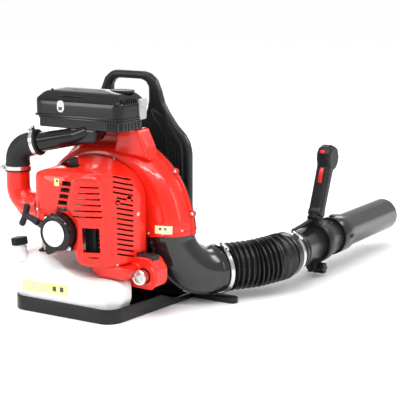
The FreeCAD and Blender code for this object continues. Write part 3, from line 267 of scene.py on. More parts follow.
def rod(radius, length, at, along=Z, edge=0.0, segments=40):
    """A cylinder with an optional rounded edge at both ends."""
    if edge <= 0:
        return lathe([(radius, 0), (radius, length)], at, along, segments)
    start = [(radius - edge * (1 - math.sin(a)), edge * (1 - math.cos(a))) for a in (0, 0.52, 1.05, math.pi / 2)]
    end = [(r, length - h) for r, h in reversed(start)]
    return lathe(start + end, at, along, segments)


def tube_lathe(outer, inner, at, along=Z, segments=72):
    """An open tube from an outer and an inner list of (radius, height), both from the start."""
    return loft(turned(outer + inner[::-1], at, along, segments), looped=True)


def curve(points, samples=12):
    """A smooth line through points (Catmull-Rom)."""
    spots = [Vector(p) for p in points]
    spots = [spots[0] * 2 - spots[1]] + spots + [spots[-1] * 2 - spots[-2]]
    line = []
    for k in range(1, len(spots) - 2):
        a, b, c, e = spots[k - 1:k + 3]
        for step in range(samples):
            t = step / samples
            line.append(0.5 * ((2 * b) + (c - a) * t + (2 * a - 5 * b + 4 * c - e) * t * t
                               + (3 * b - a - 3 * c + e) * t ** 3))
    line.append(spots[-2])
    return line


def arc_route(points, bends, step=4.0):
    """Straight runs joined by tangent arcs, as a list of close points."""
    spots = [Vector(p) for p in points]
    line = [spots[0]]
    for before, corner, after, bend in zip(spots, spots[1:], spots[2:], bends):
        inward = (before - corner).normalized()
        outward = (after - corner).normalized()
        half = (math.pi - inward.angle(outward)) / 2
        reach = bend * math.tan(half)
        middle = corner + (inward + outward).normalized() * (bend / math.cos(half))
        first, last = corner + inward * reach, corner + outward * reach
        count = max(4, int(2 * half * bend / step))
        start, end = first - middle, last - middle
        axis = start.cross(end).normalized()
        turn = start.angle(end)
        line += [middle + Matrix.Rotation(turn * k / count, 3, axis) @ start for k in range(count + 1)]
    line.append(spots[-1])
    return line


def sweep_rings(line, radius, segments=48, start_up=None):
    """Rings along a line; radius is a number or a function of (share of the length, angle)."""
    tangents = []
    for index in range(len(line)):
        a, b = line[max(0, index - 1)], line[min(len(line) - 1, index + 1)]
        tangents.append((b - a).normalized())
    side, up = basis(tangents[0])
    if start_up is not None:
        up = (Vector(start_up) - tangents[0] * Vector(start_up).dot(tangents[0])).normalized()
        side = tangents[0].cross(up)
    lengths = [0.0]
    for a, b in zip(line, line[1:]):
        lengths.append(lengths[-1] + (b - a).length)
    rings = []
    for index, spot in enumerate(line):
        if index:
            turn = tangents[index - 1].rotation_difference(tangents[index])
            up = turn @ up
            side = turn @ side
        share = lengths[index] / lengths[-1]
        rings.append(ring(spot, side, up, [radius(share, 2 * math.pi * k / segments) if callable(radius) else radius
                                           for k in range(segments)]))
    return rings


def sweep(line, radius, segments=48, start_up=None):
    """A closed round solid along a line."""
    return loft(sweep_rings(line, radius, segments, start_up))


def resampled(line, step):
    """A line with no two neighbours further apart than a step."""
    fresh = [line[0]]
    for a, b in zip(line, line[1:]):
        count = max(1, int((b - a).length / step))
        fresh += [a.lerp(b, (k + 1) / count) for k in range(count)]
    return fresh


def moved(chunk, at=(0, 0, 0), turn=None):
    """A chunk turned about the origin and then shifted."""
    points, faces = chunk
    turn = turn or Matrix.Identity(3)
    return [tuple(turn @ Vector(p) + Vector(at)) for p in points], faces


# ---- objects

def mesh_of(chunks):
    """One bmesh, in metres, from several chunks."""
    bm = bmesh.new()
    for points, faces in chunks:
        verts = [bm.verts.new(Vector(p) * MM) for p in points]
        for face in faces:
            bm.faces.new([verts[i] for i in face])
    bmesh.ops.recalc_face_normals(bm, faces=bm.faces)
    return bm


def made(name, bm, look, sharp=32):
    """An object with smooth shading and creases over an angle in degrees."""
    mesh = bpy.data.meshes.new(name)
    bm.to_mesh(mesh)
    bm.free()
    obj = bpy.data.objects.new(name, mesh)
    bpy.context.scene.collection.objects.link(obj)
    mesh.materials.append(look)
    shade(obj, sharp)
    return obj


def shade(obj, sharp=32):
    """Smooth shading with creases over an angle."""
    obj.data.polygons.foreach_set("use_smooth", [True] * len(obj.data.polygons))
    obj.data.set_sharp_from_angle(angle=math.radians(sharp))


def solid(name, chunks, look, sharp=32, bevel=0.0):
    """An object from chunks; a bevel rounds its hard edges."""
    bm = mesh_of(chunks)
    if bevel:
        soften_edges(bm, bevel)
    return made(name, bm, look, sharp)


def soften_edges(bm, width):
    """Round every hard edge of a bmesh."""
    hard = math.radians(32)
    picked = [e for e in bm.edges if len(e.link_faces) == 2 and e.calc_face_angle(0) > hard]
    bmesh.ops.bevel(bm, geom=picked, offset=width * MM, segments=2, affect="EDGES", clamp_overlap=True, profile=0.5)


def bake(obj, sharp=32):
    """Turn an object's modifiers into its mesh."""
    bpy.context.view_layer.update()
    graph = bpy.context.evaluated_depsgraph_get()
    mesh = bpy.data.meshes.new_from_object(obj.evaluated_get(graph))
    obj.modifiers.clear()
    obj.data = mesh
    shade(obj, sharp)
    return obj


def melted(obj, voxel=2.0, rounds=8, sharp=60):
    """An object's parts merged into one skin with soft edges."""
    remesh = obj.modifiers.new("remesh", "REMESH")
    remesh.mode = "VOXEL"
    remesh.voxel_size = voxel * MM
    ease = obj.modifiers.new("ease", "SMOOTH")
    ease.factor = 0.5
    ease.iterations = rounds
    return bake(obj, sharp)


def moulded(name, chunks, look, voxel=2.0, rounds=8):
    """One smooth moulding from chunks that overlap."""
    return melted(made(name, mesh_of(chunks), look), voxel, rounds)


def carve(obj, chunks, operation="DIFFERENCE"):
    """Cut chunks out of an object, or keep what they share with it."""
    tool = made("tool", mesh_of(chunks), obj.data.materials[0])
    step = obj.modifiers.new("carve", "BOOLEAN")
    step.operation = operation
    step.solver = "MANIFOLD"
    step.object = tool
    bake(obj, 40)
    bpy.data.objects.remove(tool)


def keep(obj, *regions):
    """Keep only what an object shares with every region."""
    for region in regions:
        carve(obj, [region], "INTERSECT")


def hollow(obj, wall):
    """Give a closed object a wall of a thickness, inwards."""
    skin = obj.modifiers.new("wall", "SOLIDIFY")
    skin.thickness = wall * MM
    skin.offset = -1
    return bake(obj, 40)


def joined(name, *objs):
    """One object from several."""
    bm = bmesh.new()
    looks = []
    for obj in objs:
        start = len(bm.faces)
        bm.from_mesh(obj.data)
        bm.faces.ensure_lookup_table()
        remap = []
        for look in obj.data.materials:
            if look not in looks:
                looks.append(look)
            remap.append(looks.index(look))
        for face in bm.faces[start:]:
            face.material_index = remap[face.material_index]
    mesh = bpy.data.meshes.new(name)
    bm.to_mesh(mesh)
    bm.free()
    for look in looks:
        mesh.materials.append(look)
    for obj in objs:
        bpy.data.objects.remove(obj)
    obj = bpy.data.objects.new(name, mesh)
    bpy.context.scene.collection.objects.link(obj)
    return obj


def fix(obj, slot, *nodes, body="blower"):
    """Attach a piece to its body and hide the CAD nodes it stands for; the slot, its finish, is not used."""
    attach(obj, body)
    if nodes:
        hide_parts(*nodes)
        COVERED.update(nodes)


def bridge(obj, node):
    """Bake a piece's placement into its mesh and hide the CAD node it stands for."""
    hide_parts(node)
    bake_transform(obj)
    COVERED.add(node)


def refined(node, look=None, bevel=0.6):
    """A CAD node's shape with its hard edges rounded."""
    source = frame["nodes"][node]
    bm = bmesh.new()
    bm.from_mesh(source.data)
    bmesh.ops.remove_doubles(bm, verts=bm.verts, dist=1e-6)
    bmesh.ops.dissolve_limit(bm, angle_limit=math.radians(0.6), verts=bm.verts, edges=bm.edges)
    soften_edges(bm, bevel)
    obj = made(node + "_finished", bm, look or SLOT_LOOK[NODE_SLOT[node]], 35)
    fix(obj, NODE_SLOT[node], node, body=source["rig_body"])


def hit(objs, origin, way):
    """The first surface a ray meets: the spot and the outward direction there, in millimetres."""
    way = Vector(way).normalized()
    found = []
    for obj in objs:
        tree = BVHTree.FromObject(obj, bpy.context.evaluated_depsgraph_get())
        spot, normal, _, distance = tree.ray_cast(Vector(origin) * MM, way)
        if spot is not None:
            found.append((distance, spot / MM, -normal if normal.dot(way) > 0 else normal))
    if not found:
        raise RuntimeError("no surface in front of %s" % (tuple(origin),))
    _, spot, normal = min(found, key=lambda entry: entry[0])
    return spot, normal


def sticker(name, base, centre, way, across, size, look, proud=0.35, steps=10):
    """A thin label that follows the surface it is stuck to."""
    standoff = 60
    way = Vector(way).normalized()
    side = (Vector(across) - way * Vector(across).dot(way)).normalized()
    up = side.cross(way)
    if up.z < 0:
        up = -up
    corner = Vector(centre) - way * standoff - side * size[0] / 2 - up * size[1] / 2
    tree = BVHTree.FromObject(base, bpy.context.evaluated_depsgraph_get())
    bm = bmesh.new()
    rows = []
    for v in range(steps + 1):
        row = []
        for u in range(steps + 1):
            start = corner + side * size[0] * u / steps + up * size[1] * v / steps
            spot = tree.ray_cast(start * MM, way)[0] or (start + way * standoff) * MM
            row.append(bm.verts.new(spot - way * proud * MM))
        rows.append(row)
    for low, high in zip(rows, rows[1:]):
        for u in range(steps):
            bm.faces.new((low[u], low[u + 1], high[u + 1], high[u]))
    bm.normal_update()
    if sum(face.normal.dot(way) for face in bm.faces) > 0:
        bmesh.ops.reverse_faces(bm, faces=bm.faces)
    skin = made(name, bm, look, 60)
    backing = skin.modifiers.new("backing", "SOLIDIFY")
    backing.thickness, backing.offset = 0.2 * MM, -1
    return bake(skin, 60)


def screw(spot, normal, radius=3.6, height=2.4):
    """A flanged screw head with a round socket."""
    normal = Vector(normal).normalized()
    start = Vector(spot) - normal * 0.6
    flange, crown, socket = radius * 1.25, radius * 0.8, radius * 0.42
    profile = [(0, 0), (flange, 0), (flange, 1.2), (radius, 1.3), (radius, height * 0.7), (crown, height),
               (radius * 0.5, height), (socket, height * 0.35), (0, height * 0.35)]
    return lathe(profile, start, normal, 24)


# ---- camera, light and floor

def placed(name, data, at, way):
    """A camera or a lamp at a spot, facing a direction."""
    obj = bpy.data.objects.new(name, data)
    bpy.context.scene.collection.objects.link(obj)
    obj.location = at
    obj.rotation_mode = "QUATERNION"
    obj.rotation_quaternion = Vector(way).to_track_quat("-Z", "Y")
    return obj


def camera():
    """The viewing angle that the object is shown from."""
    lens = bpy.data.cameras.new("camera")
    lens.lens = 117
    lens.sensor_width = 36
    lens.clip_start = 0.05
    bpy.context.scene.camera = placed("camera", lens, (1.6241, -2.3239, 0.7532), (-0.5202, 0.8324, -0.1908))


def studio():
    """A pale floor, a bright surround, an overhead sun and soft panels aimed at the object's middle."""
    bpy.context.scene.view_settings.view_transform = "Standard"
    world = bpy.data.worlds.new("studio")
    world.use_nodes = True
    sky = world.node_tree.nodes["Background"]
    sky.inputs["Color"].default_value = (1, 1, 1, 1)
    sky.inputs["Strength"].default_value = 0.55
    bpy.context.scene.world = world
    half_floor = 90000
    solid("floor", [block((-half_floor, half_floor), (-half_floor, half_floor), (-20, -0.2))], FLOOR)
    sun = bpy.data.lights.new("overhead", "SUN")
    sun.energy = 1.75
    sun.angle = math.radians(50)
    placed("overhead", sun, (0, 0, 0), (0.12, 0.42, -1))
    middle = Vector((0.1, 0.0, 0.2))
    for name, at, size, power in (("left_panel", (-1.5, -2.2, 0.9), (0.35, 1.5), 12),
                                  ("right_panel", (2.3, -0.5, 1.1), (0.4, 1.5), 12),
                                  ("back_panel", (1.3, 1.6, 1.5), (1.4, 0.4), 12),
                                  ("rear_panel", (-1.5, 2.6, 1.35), (3.0, 1.0), 24),
                                  ("top_strip", (0.8, -1.2, 1.9), (1.5, 0.16), 17)):
        lamp = bpy.data.lights.new(name, "AREA")
        lamp.shape = "RECTANGLE"
        lamp.size, lamp.size_y = size
        lamp.energy = power
        placed(name, lamp, at, middle - Vector(at))


# ---- fan case

FAN_Z = 178.0
SCROLL_SHIFT = 11.0
SCROLL_GROWTH = 22
JOINT_Y = -83
MOUTH = Vector((150, -80, 163))
MOUTH_RADIUS = 54.4
LEAN = math.radians(10)
DOWN = Vector((math.sin(LEAN), 0, -math.cos(LEAN)))


def scroll_outline(grow, steps=20):
    """The spiral outline in X and Z, from the heel round to the outlet side."""
    low, high = FAN_Z - SCROLL_SHIFT, FAN_Z + SCROLL_SHIFT
    centres = [(-SCROLL_SHIFT, high), (SCROLL_SHIFT, high), (SCROLL_SHIFT, low)]
    points = []
    for index, (start, centre) in enumerate(zip((-90, 180, 90), centres)):
        radius = 150 + grow + SCROLL_GROWTH * index
        for k in range(steps + (index == 2)):
            angle = math.radians(start - 90 * k / steps)
            points.append((centre[0] + radius * math.cos(angle), centre[1] + radius * math.sin(angle)))
    right = points[-1][0]
    points += [(right - 3, 161), (100, 161), (78, 88)]
    return points


def fan_case():
    """The red spiral case with its outlet collar, and its black rear half."""
    stations = [(-130, -31), (-128.5, -28), (-122, -20), (-112, -11), (-100, -4.5), (-88, -1), (-77, 0)]
    nose = loft([[(u, y, v) for u, v in scroll_outline(grow)] for y, grow in stations])
    spout = lathe([(52, 0), (52, 62)], MOUTH - DOWN * 62, DOWN, 72)
    profile = [(0, -131.5), (149, -131.5), (154, -130.6), (158.5, -128.4), (162, -124.6), (164.4, -118),
               (166, -108), (167, -92), (0, -92)]
    drum = solid("drum", [lathe(profile, (0, 0, FAN_Z), Y, 128)], RED)
    keep(drum, block((-200, 200), (-140, -80), (168, 400)))
    case = joined("fan_case_front", drum, solid("shell", [nose], RED), solid("spout", [spout], RED))
    melted(case, 2.2, 9)
    profile = [(0, 0), (52.2, 0), (54.6, 1.2), (54.8, 4), (54.8, 24), (55.6, 25), (55.6, 28.4), (54.4, 29.4),
               (0, 29.4)]
    collar = solid("collar", [lathe(profile, MOUTH - DOWN * 28, DOWN, 96)], RED, 30)
    flange = solid("flange", [slab("XZ", scroll_outline(4.5), JOINT_Y, JOINT_Y + 5)], RED, 30, bevel=0.8)
    lugs = solid("lugs", [rod(7, 6, spot, Y, 0.8) for spot in rim_spots(JOINT_Y)], RED, 30)
    case = joined("fan_case_red", case, collar, flange, lugs)
    fix(case, "red_shell", "volute_front")
    heads = [screw(spot + Vector((0, -0.5, 0)), -Y, 3.4, 3) for spot in rim_spots(JOINT_Y)]
    for angle in (200, 285, 330):
        way = Vector((math.cos(math.radians(angle)), math.sin(math.radians(angle)), 0))
        side = way - DOWN * way.dot(DOWN)
        heads.append(screw(MOUTH - DOWN * 4 + side.normalized() * MOUTH_RADIUS, side, 2.6, 2))
    fix(solid("fan_case_screws", heads, STEEL, 30), "screw", "shell_screws")
    refined("volute_rear", BLACK, 1.2)
    return case


def rim_spots(y):
    """The screw positions around the case's joint."""
    spots = []
    for angle in (12, 40, 66, 100, 128, 158, 200, 238):
        quarter = 2 - int(angle / 90)
        middle = Vector((SCROLL_SHIFT if quarter > 0 else -SCROLL_SHIFT, y,
                         FAN_Z + (-SCROLL_SHIFT if quarter == 2 else SCROLL_SHIFT)))
        way = math.radians(angle)
        spots.append(middle + Vector((math.cos(way), 0, math.sin(way))) * (153 + SCROLL_GROWTH * quarter))
    return spots


# ---- engine cover

def cover_rings():
    """The cover's cross-sections from its front face back to the round fan case."""
    front = [(-80, 190), (-80, 226), (-80, 258), (-76, 286), (-62, 301), (-34, 307), (20, 308), (60, 308), (96, 307),
             (120, 304), (130, 292), (132, 262), (132, 200), (132, 128), (124, 112), (84, 112), (44, 112), (32, 140),
             (20, 190), (-30, 190)]
    rear = [(-80, 190), (-80, 240), (-79, 290), (-76, 306), (-58, 318), (-24, 327), (16, 329), (54, 319), (88, 300),
            (112, 277), (126, 255), (132, 234), (132, 190), (132, 128), (124, 112), (84, 112), (44, 112), (32, 140),
            (20, 190), (-30, 190)]
    rings = []
    for y, share in ((-280, 0), (-262, 0.0), (-240, 0.04), (-215, 0.14), (-190, 0.34), (-165, 0.62), (-145, 0.86),
                     (-129, 1)):
        outline = [(a + (c - a) * share, b + (d - b) * share) for (a, b), (c, d) in zip(front, rear)]
        rings.append([(u, y, v) for u, v in soften(outline, 2)])
    return rings


def cover_layer(name, proud=0.0, *zones):
    """The lofted body within its plan and its sloping front, moved out a little and kept within zones."""
    plan = soften([(-80, -129), (-80, -222), (-75, -250), (-56, -265), (36, -266), (58, -259), (98, -243),
                   (119, -218), (131, -172), (132, -129)], 2)
    side = soften([(-129, 96), (-262, 96), (-266, 130), (-266, 286), (-260, 302), (-240, 309), (-200, 316),
                   (-129, 340)], 2)
    layer = solid(name, [loft(cover_rings())], RED)
    keep(layer, *zones, slab("XY", [(u, v - proud) for u, v in plan], 90, 370),
         slab("YZ", [(u - proud, v) for u, v in side], -110, 160))
    return layer


def cover_form():
    """The cover's closed form, with a raised panel on the right and a lower one at the top left."""
    raised = rounded([(46, 117), (96, 117), (93, 190), (87, 297), (30, 297), (20, 262), (20, 232), (44, 205),
                      (44, 176), (40, 140)], 12)
    brow = rounded([(-76, 222), (-30, 222), (10, 226), (16, 262), (20, 299), (-76, 299)], 12)
    return joined("cover_form", cover_layer("cover_form"),
                  cover_layer("raised_panel", 4.6, slab("XZ", raised, -300, -200)),
                  cover_layer("brow_panel", 2.4, slab("XZ", brow, -300, -230)))


def cover_details(form, case):
    """Screws, blank labels and the small red block around the cover."""
    inward = Vector((-0.52, 0.83, -0.19))
    heads = []
    for target in ((45, -140, 318), (132, -176, 216), (132, -141, 169), (118, -232, 117), (-60, -265, 221),
                   (-80, -131, 300)):
        spot, normal = hit([form, case], Vector(target) - inward * 120, inward)
        heads.append(screw(spot, normal, 3.4, 2.6))
    fix(solid("cover_screws", heads, STEEL, 30), "screw")
    labels = [("cover_label", form, (-6, -265, 283), (12, 15), YELLOW, 0.35, 10),
              ("cover_label_mark", form, (-5, -265, 286), (5, 5), INK, 0.6, 3),
              ("collar_label", case, (164, -120, 178), (36, 17), CREAM, 0.35, 10),
              ("collar_label_mark_0", case, (158, -120, 180), (5, 5), INK, 0.6, 3),
              ("collar_label_mark_1", case, (169, -120, 180), (5, 5), INK, 0.6, 3)]
    for name, base, centre, size, look, proud, steps in labels:
        fix(sticker(name, base, centre, Y, X, size, look, proud, steps), "red_shell")
    fix(moulded("starter_post", [block((-52, -38), (-270, -240), (198, 214))], RED, 1.2, 4), "red_shell")


def engine_cover():
    """The red moulded cover with its louvres, window and details."""
    form = cover_form()
    melted(form, 2.2, 12)
    hollow(form, 2.6)
    openings = dict(
        toward_the_fan=block((-120, 160), (-133, -90), (60, 400)),
        above_the_tank=block((-78, 52), (-236, -120), (100, 217)),
        beside_the_horn=block((-90, -70), (-232, -170), (196, 256)),
        behind_the_guard=block((82, 171), (-178, -150), (60, 133.5)),
        starter=rod(42.5, 60, (0, -275, 180), Y),
        plug_boot=rod(14, 80, (0, -206, 270), (0, -0.3, 0.954)),
        plug_lead=block((-44, -8), (-220, -191), (290, 340)))
    for opening in openings.values():
        carve(form, [opening])
    louvres = []
    for index in range(5):
        x, z = 6 - 3.4 * index, 287 - 13.4 * index
        louvres.append(slab("XZ", [(x, z - 9.4), (x + 25, z - 9.4), (x + 27, z), (x + 2.4, z)], -279, -252))
    oblique = Matrix.Rotation(math.radians(22), 3, "Z")
    for index in range(6):
        width = 40 + 4.5 * index
        slot = slab("XZ", [(0, 0), (width, 0), (width, 3.4), (0, 3.4)], -14, 14)
        louvres.append(moved(slot, (50 - 3 * index, -263 - 1.3 * index, 276 - 12.2 * index), oblique))
    window = slab("XZ", [(0, 0), (36, 0), (34, 51), (-2, 51)], -14, 30)
    sill = slab("XZ", [(0, 0), (22, 0), (22, 3), (0, 3)], -14, 14)
    louvres += [moved(window, (56, -263, 143), oblique), moved(sill, (66, -259, 131), oblique)]
    carve(form, louvres)
    turn = Matrix.Rotation(math.radians(-24), 3, "Z") @ Matrix.Rotation(math.radians(-15), 3, "X")
    side = [moved(block((-9, 14), (-6 if index < 4 else 2, 44), (0, 3.6)), (107, -224, 297 - 10.6 * index), turn)
            for index in range(16)]
    side.append(rod(6.2, 40, (106, -196, 251), X))
    side.append(rod(5.6, 30, (102, -213, 246), (0.8, -0.6, 0)))
    carve(form, side)
    form.name = "engine_cover_moulding"
    fix(form, "red_shell", "engine_cover")
    return form


# ---- starter

STARTER = Vector((0, -290, 180))
PULL_WAY = Vector((-0.94, 0, 0.341))


def starter():
    """The round starter housing with its blank disc, tab and screws."""
    profile = [(0, 44), (38, 44), (38.5, 30), (38.5, 11), (37.8, 6), (35.8, 3.2), (32, 2.4), (29.6, 2.6),
               (28.2, 1.4), (0, 1.4)]
    tab = slab("XZ", soften([(-22, 156), (-20, 131), (9, 146), (6, 160)], 1), -289, -270)
    housing = solid("starter_ring", [lathe(profile, STARTER, Y, 96), tab], GLOSS, 24)
    ribs = []
    for k in range(9):
        angle = math.radians(-80 + 20 * k)
        ribs.append(rod(1.6, 22, STARTER + Vector((37.6 * math.cos(angle), 15, 37.6 * math.sin(angle))), Y, 0.6, 12))
    profile = [(0, 0.2), (26, 0.2), (26.8, 0.7), (26.8, 1.6), (0, 1.6)]
    disc = solid("starter_disc", [lathe(profile, STARTER, Y, 96)], WHITE_DISC)
    lugs = [STARTER + Vector((40 * math.cos(a), 18, 40 * math.sin(a))) for a in map(math.radians, (142, -49))]
    legs = [rod(6.5, 26, spot, Y, 1, 24) for spot in lugs]
    profile = [(0, 0), (7.6, 0), (8.2, 1), (8.2, 14), (7, 16), (3, 16), (3, 8), (0, 8)]
    outlet = lathe(profile, (-33, -272, 188), PULL_WAY, 32)
    neck = rod(9, 22, (-16, -272, 181.8), PULL_WAY, 1)
    body = joined("starter_housing_finished", housing, disc, solid("ribs", ribs + legs + [neck, outlet], GLOSS, 40))
    fix(body, "starter", "starter_housing")
    fix(solid("starter_screws", [screw(spot, -Y, 4.2, 3.2) for spot in lugs], STEEL, 30), "screw")


def pull_handle():
    """The T-shaped rubber grip and its rope."""
    root, way = Vector((-20, -272, 183)), PULL_WAY.normalized()
    across = Vector((0.62, 0, 0.785))
    across = (across - way * across.dot(way)).normalized()
    bar = curve([root + way * out + across * along
                 for out, along in ((73, -25), (71.6, -12), (71, 0), (71.6, 12), (73, 25))], 8)

    def waist(share, angle):
        return 7.4 - 1.2 * math.sin(math.pi * share) ** 2 - 3.2 * abs(2 * share - 1) ** 14
    profile = [(0, 33.6), (6.6, 33.6), (7.8, 35), (7.6, 42), (6.2, 52), (6.4, 66), (0, 70)]
    grip = moulded("pull_grip", [sweep(bar, waist, 32), lathe(profile, root, way, 32)], RUBBER, 1.0, 5)
    fix(grip, "handle", "pull_handle", body="pull")
    line = [root + way * (13 + 36 * k / 40) for k in range(41)]
    twist = sweep(line, lambda share, angle: 1.9 + 0.15 * math.sin(3 * angle + share * 60), 18)
    rope = solid("pull_rope", [twist], WEBBING, 60)
    bridge(rope, "starter_rope")


# ---- tank

NECK = Vector((-121, -247, 114))
NECK_WAY = Vector((-0.14, 0, 0.99)).normalized()


def fuel_tank():
    """The milky tank with its neck, its grommet and the two fuel lines."""
    side = soften([(-121, 5), (115, 5), (121, 31), (127, 40), (127, 73), (115, 83), (36, 85), (-30, 119), (-130, 119),
                   (-139, 112), (-139, 46), (-124, 34)], 2)
    brow = soften([(-270, 0), (-270, 78), (-256, 106), (-226, 125), (-140, 125), (-140, 0)], 2)
    plan = soften([(-145, -224), (-120, -267), (94, -267), (132, -212), (134, -190), (80, -188), (80, -148),
                   (-145, -148)], 1)
    tank = solid("fuel_tank_form", [slab("XZ", side, -264, -152)], TANK)
    keep(tank, slab("YZ", brow, -160, 160), slab("XY", plan, -5, 140))
    melted(tank, 2.2, 14)
    profile = [(0, -12), (19, -12), (17, -3), (15, 0), (13.4, 3), (13.4, 12), (15.4, 12.6), (15.4, 15.6),
               (13.4, 16), (13.4, 27), (0, 27)]
    tank = joined("fuel_tank_finished", tank, solid("neck", [lathe(profile, NECK, NECK_WAY, 48)], TANK, 30))
    fix(tank, "tank", "fuel_tank")
    profile = [(0, 0), (9, 0), (11, 1), (11, 3), (8, 4.6), (5.6, 5), (5, 7.6), (3.6, 8.4), (0, 8.4)]
    seat = lathe(profile, (-88, -212, 118.4), Z, 32)
    fix(solid("grommet_finished", [seat], RUBBER, 30), "grommet", "fuel_grommet")
    supply = curve([(-88, -212, 62), (-88, -212, 120), (-87, -211, 148), (-81, -202, 172), (-80, -199, 200)], 12)
    back = curve([(-82, -216, 122), (-83, -216, 150), (-72, -206, 176), (-66, -204, 196)], 12)
    fix(solid("fuel_lines", [sweep(supply, 3.1, 20)], FUEL_HOSE, 60), "fuel_hose", "fuel_line")
    fix(solid("return_line", [sweep(back, 1.9, 16)], CERAMIC, 60), "fuel_hose")
    return tank


def tank_labels(tank):
    """The blank label strip on the tank and its six squares."""
    strip = sticker("tank_label", tank, (-47, -262, 55), Y, (1, 0, 0.03), (124, 21), YELLOW)
    fix(strip, "tank")
    for k in range(6):
        spot, look = (-96 + 19 * k, -262, 53.6 + 0.6 * k), INK if k > 3 else GREY_LABEL
        fix(sticker("tank_label_mark_%d" % k, tank, spot, Y, X, (9, 10), look, 0.6, 3), "tank")


def tank_cap():
    """The ribbed cap."""
    root = NECK + NECK_WAY * 21
    ridge, groove = 17.2, 16.1
    side, up = basis(NECK_WAY)
    rings = []
    for height, shrink in ((0, 0.8), (0.8, 0), (13.6, 0), (15.6, 0.9), (16.7, 3.4)):
        rings.append(ring(root + NECK_WAY * height, side, up,
                          [(ridge if k % 4 < 2 and shrink < 1 else groove) - shrink for k in range(96)]))
    crown = lathe([(0, 0), (9.4, 0), (9.4, 0.3), (8.6, 0.3), (0, 0.3)], root + NECK_WAY * 16.6, NECK_WAY, 48)
    fix(solid("tank_cap_finished", [loft(rings), crown], BLACK, 28), "cap", "tank_cap", body="cap")


# ---- air cleaner

def cleaner_case():
    """The air cleaner's ribbed case."""
    low = moulded("cleaner_case_form", [plate("XY", (-117, 97), (-188, -99), 14, 382, 404.4)], GLOSS, 1.6, 3)
    rim = solid("case_rim", [plate("XY", (-118, 98), (-190, -98), 15, 400, 404.6)], GLOSS, 40, bevel=0.8)
    ribs = [block((66 + 6.5 * k, 68 + 6.5 * k), (-189.6, -184), (384, 401)) for k in range(5)]
    ribs += [block((92, 97.8), (-180 + 12 * k, -178 + 12 * k), (384, 401)) for k in range(6)]
    ribs = solid("case_ribs", ribs, GLOSS, 30)
    fix(joined("cleaner_case_finished", low, rim, ribs), "cleaner", "cleaner_case")


def cleaner_lid():
    """The air cleaner's domed lid with its lip, ridges, vents and blank label."""
    dome = rounded([(-195, 400), (-193, 440), (-172, 457), (-140, 464), (-104, 458), (-95, 440), (-93, 400)], 14)
    ends = rounded([(102, 400), (101, 438), (80, 458), (20, 464), (-70, 464), (-108, 456), (-121, 436),
                    (-122, 400)], 14)
    lid = solid("cleaner_lid_form", [plate("XY", (-121, 101), (-193, -95), 16, 405.4, 480)], GLOSS)
    keep(lid, slab("YZ", dome, -140, 120), slab("XZ", ends, -210, -80))
    melted(lid, 1.8, 16)
    lip = solid("lid_lip", [plate("XY", (-124, 104), (-196, -93), 18, 405.6, 410.4)], GLOSS, 40, bevel=1.2)
    parts = []
    for k in range(3):
        y, z = -182 + 13 * k, 444 + 5.4 * k
        ridge = curve([(-98, y, z), (-40, y - 1, z + 5.6 - 0.4 * k), (60, y, z + 2.4 - 0.4 * k)], 10)
        parts.append(sweep(ridge, 1.1, 12))
    parts.append(moved(slab("XY", soften([(0, 0), (52, 0), (52, 40), (0, 40)], 2), 0, 4.6), (34, -146, 458)))
    for k in range(7):
        parts.append(block((88.4, 100.6), (-176 + 7 * k, -174.2 + 7 * k), (433, 449 - 0.2 * k)))
    knob = (-92, -166, 446)
    parts += [rod(6.4, 9, knob, Z, 1.4), rod(2.6, 15, knob, Z, 0.8)]
    lid = joined("cleaner_lid_finished", lid, lip, solid("lid_details", parts, BLACK, 30))
    fix(lid, "cleaner", "cleaner_lid", body="lid")
    spot, _ = hit([lid], (-50, -300, 428), Y)
    panel = moved(slab("XZ", soften([(-9, -12), (9, -12), (9, 12), (-9, 12)], 1), -0.7, 0.6), spot)
    mark = moved(slab("XZ", [(-5, -8), (4, -8), (4, -1), (-5, -1)], -0.9, 0), spot)
    label = joined("lid_label", solid("plate", [panel], GREY_LABEL, 30), solid("mark", [mark], INK, 30))
    fix(label, "cleaner", body="lid")


def latches():
    """The two clips that hold the lid."""
    refined("latch_left", LATCH, 1.2)
    clip = [plate("YZ", (-125, -101), (403, 446), 5, 99.6, 104.4), plate("YZ", (-124, -102), (428, 446), 4, 98, 107)]
    fix(moulded("latch_right_form", clip, LATCH, 1.0, 4), "latch", "latch_right", body="latch_right")


# ---- intake

DUCT_CORNER = Vector((-60, -180, 361))
DUCT_WAY = Vector((-103, -20, -26)).normalized()
HORN_TOP = Vector((-163, -200, 300))


def swell(share, middle, width):
    """How far a bead rises, from 0 to 1, at a share of a length."""
    return math.exp(-((share - middle) / width) ** 2)


def duct():
    """The glossy duct with the plenum under the cleaner."""
    def skin(share, angle):
        return 19 + (2.2 if share > 0.9 else 0) + 1.2 * swell(share, 0.62, 0.02)
    line = arc_route([(10, -173, 378), (-20, -177, 366), DUCT_CORNER + DUCT_WAY * 68], [60], 3)
    plenum = loft([[(u, y, v) for u, v in rounded(outline, 8)] for y, outline in (
        (-190, [(-34, 384), (40, 384), (34, 356), (-26, 352)]),
        (-150, [(-34, 384), (40, 384), (30, 360), (-22, 358)]))])
    pipe = solid("duct_tube", [sweep(line, skin, 56)], GLOSS, 35)
    pipe = joined("duct_finished", pipe, moulded("plenum", [plenum], GLOSS, 1.8, 6))
    fix(pipe, "duct", "cleaner_duct")


def intake_elbow():
    """The rubber elbow between the duct and the horn."""
    def skin(share, angle):
        bead = swell(share, 0.02, 0.03) + swell(share, 0.98, 0.03)
        return 25.6 + 1.6 * bead + (1.2 if share < 0.17 or share > 0.84 else 0)
    line = arc_route([DUCT_CORNER + DUCT_WAY * 52, HORN_TOP + Z * 35, HORN_TOP - Z * 16], [36], 2.5)
    pipe = solid("rubber_elbow_finished", [sweep(line, skin, 64)], RUBBER, 50)
    fix(pipe, "rubber_boot", "rubber_elbow")


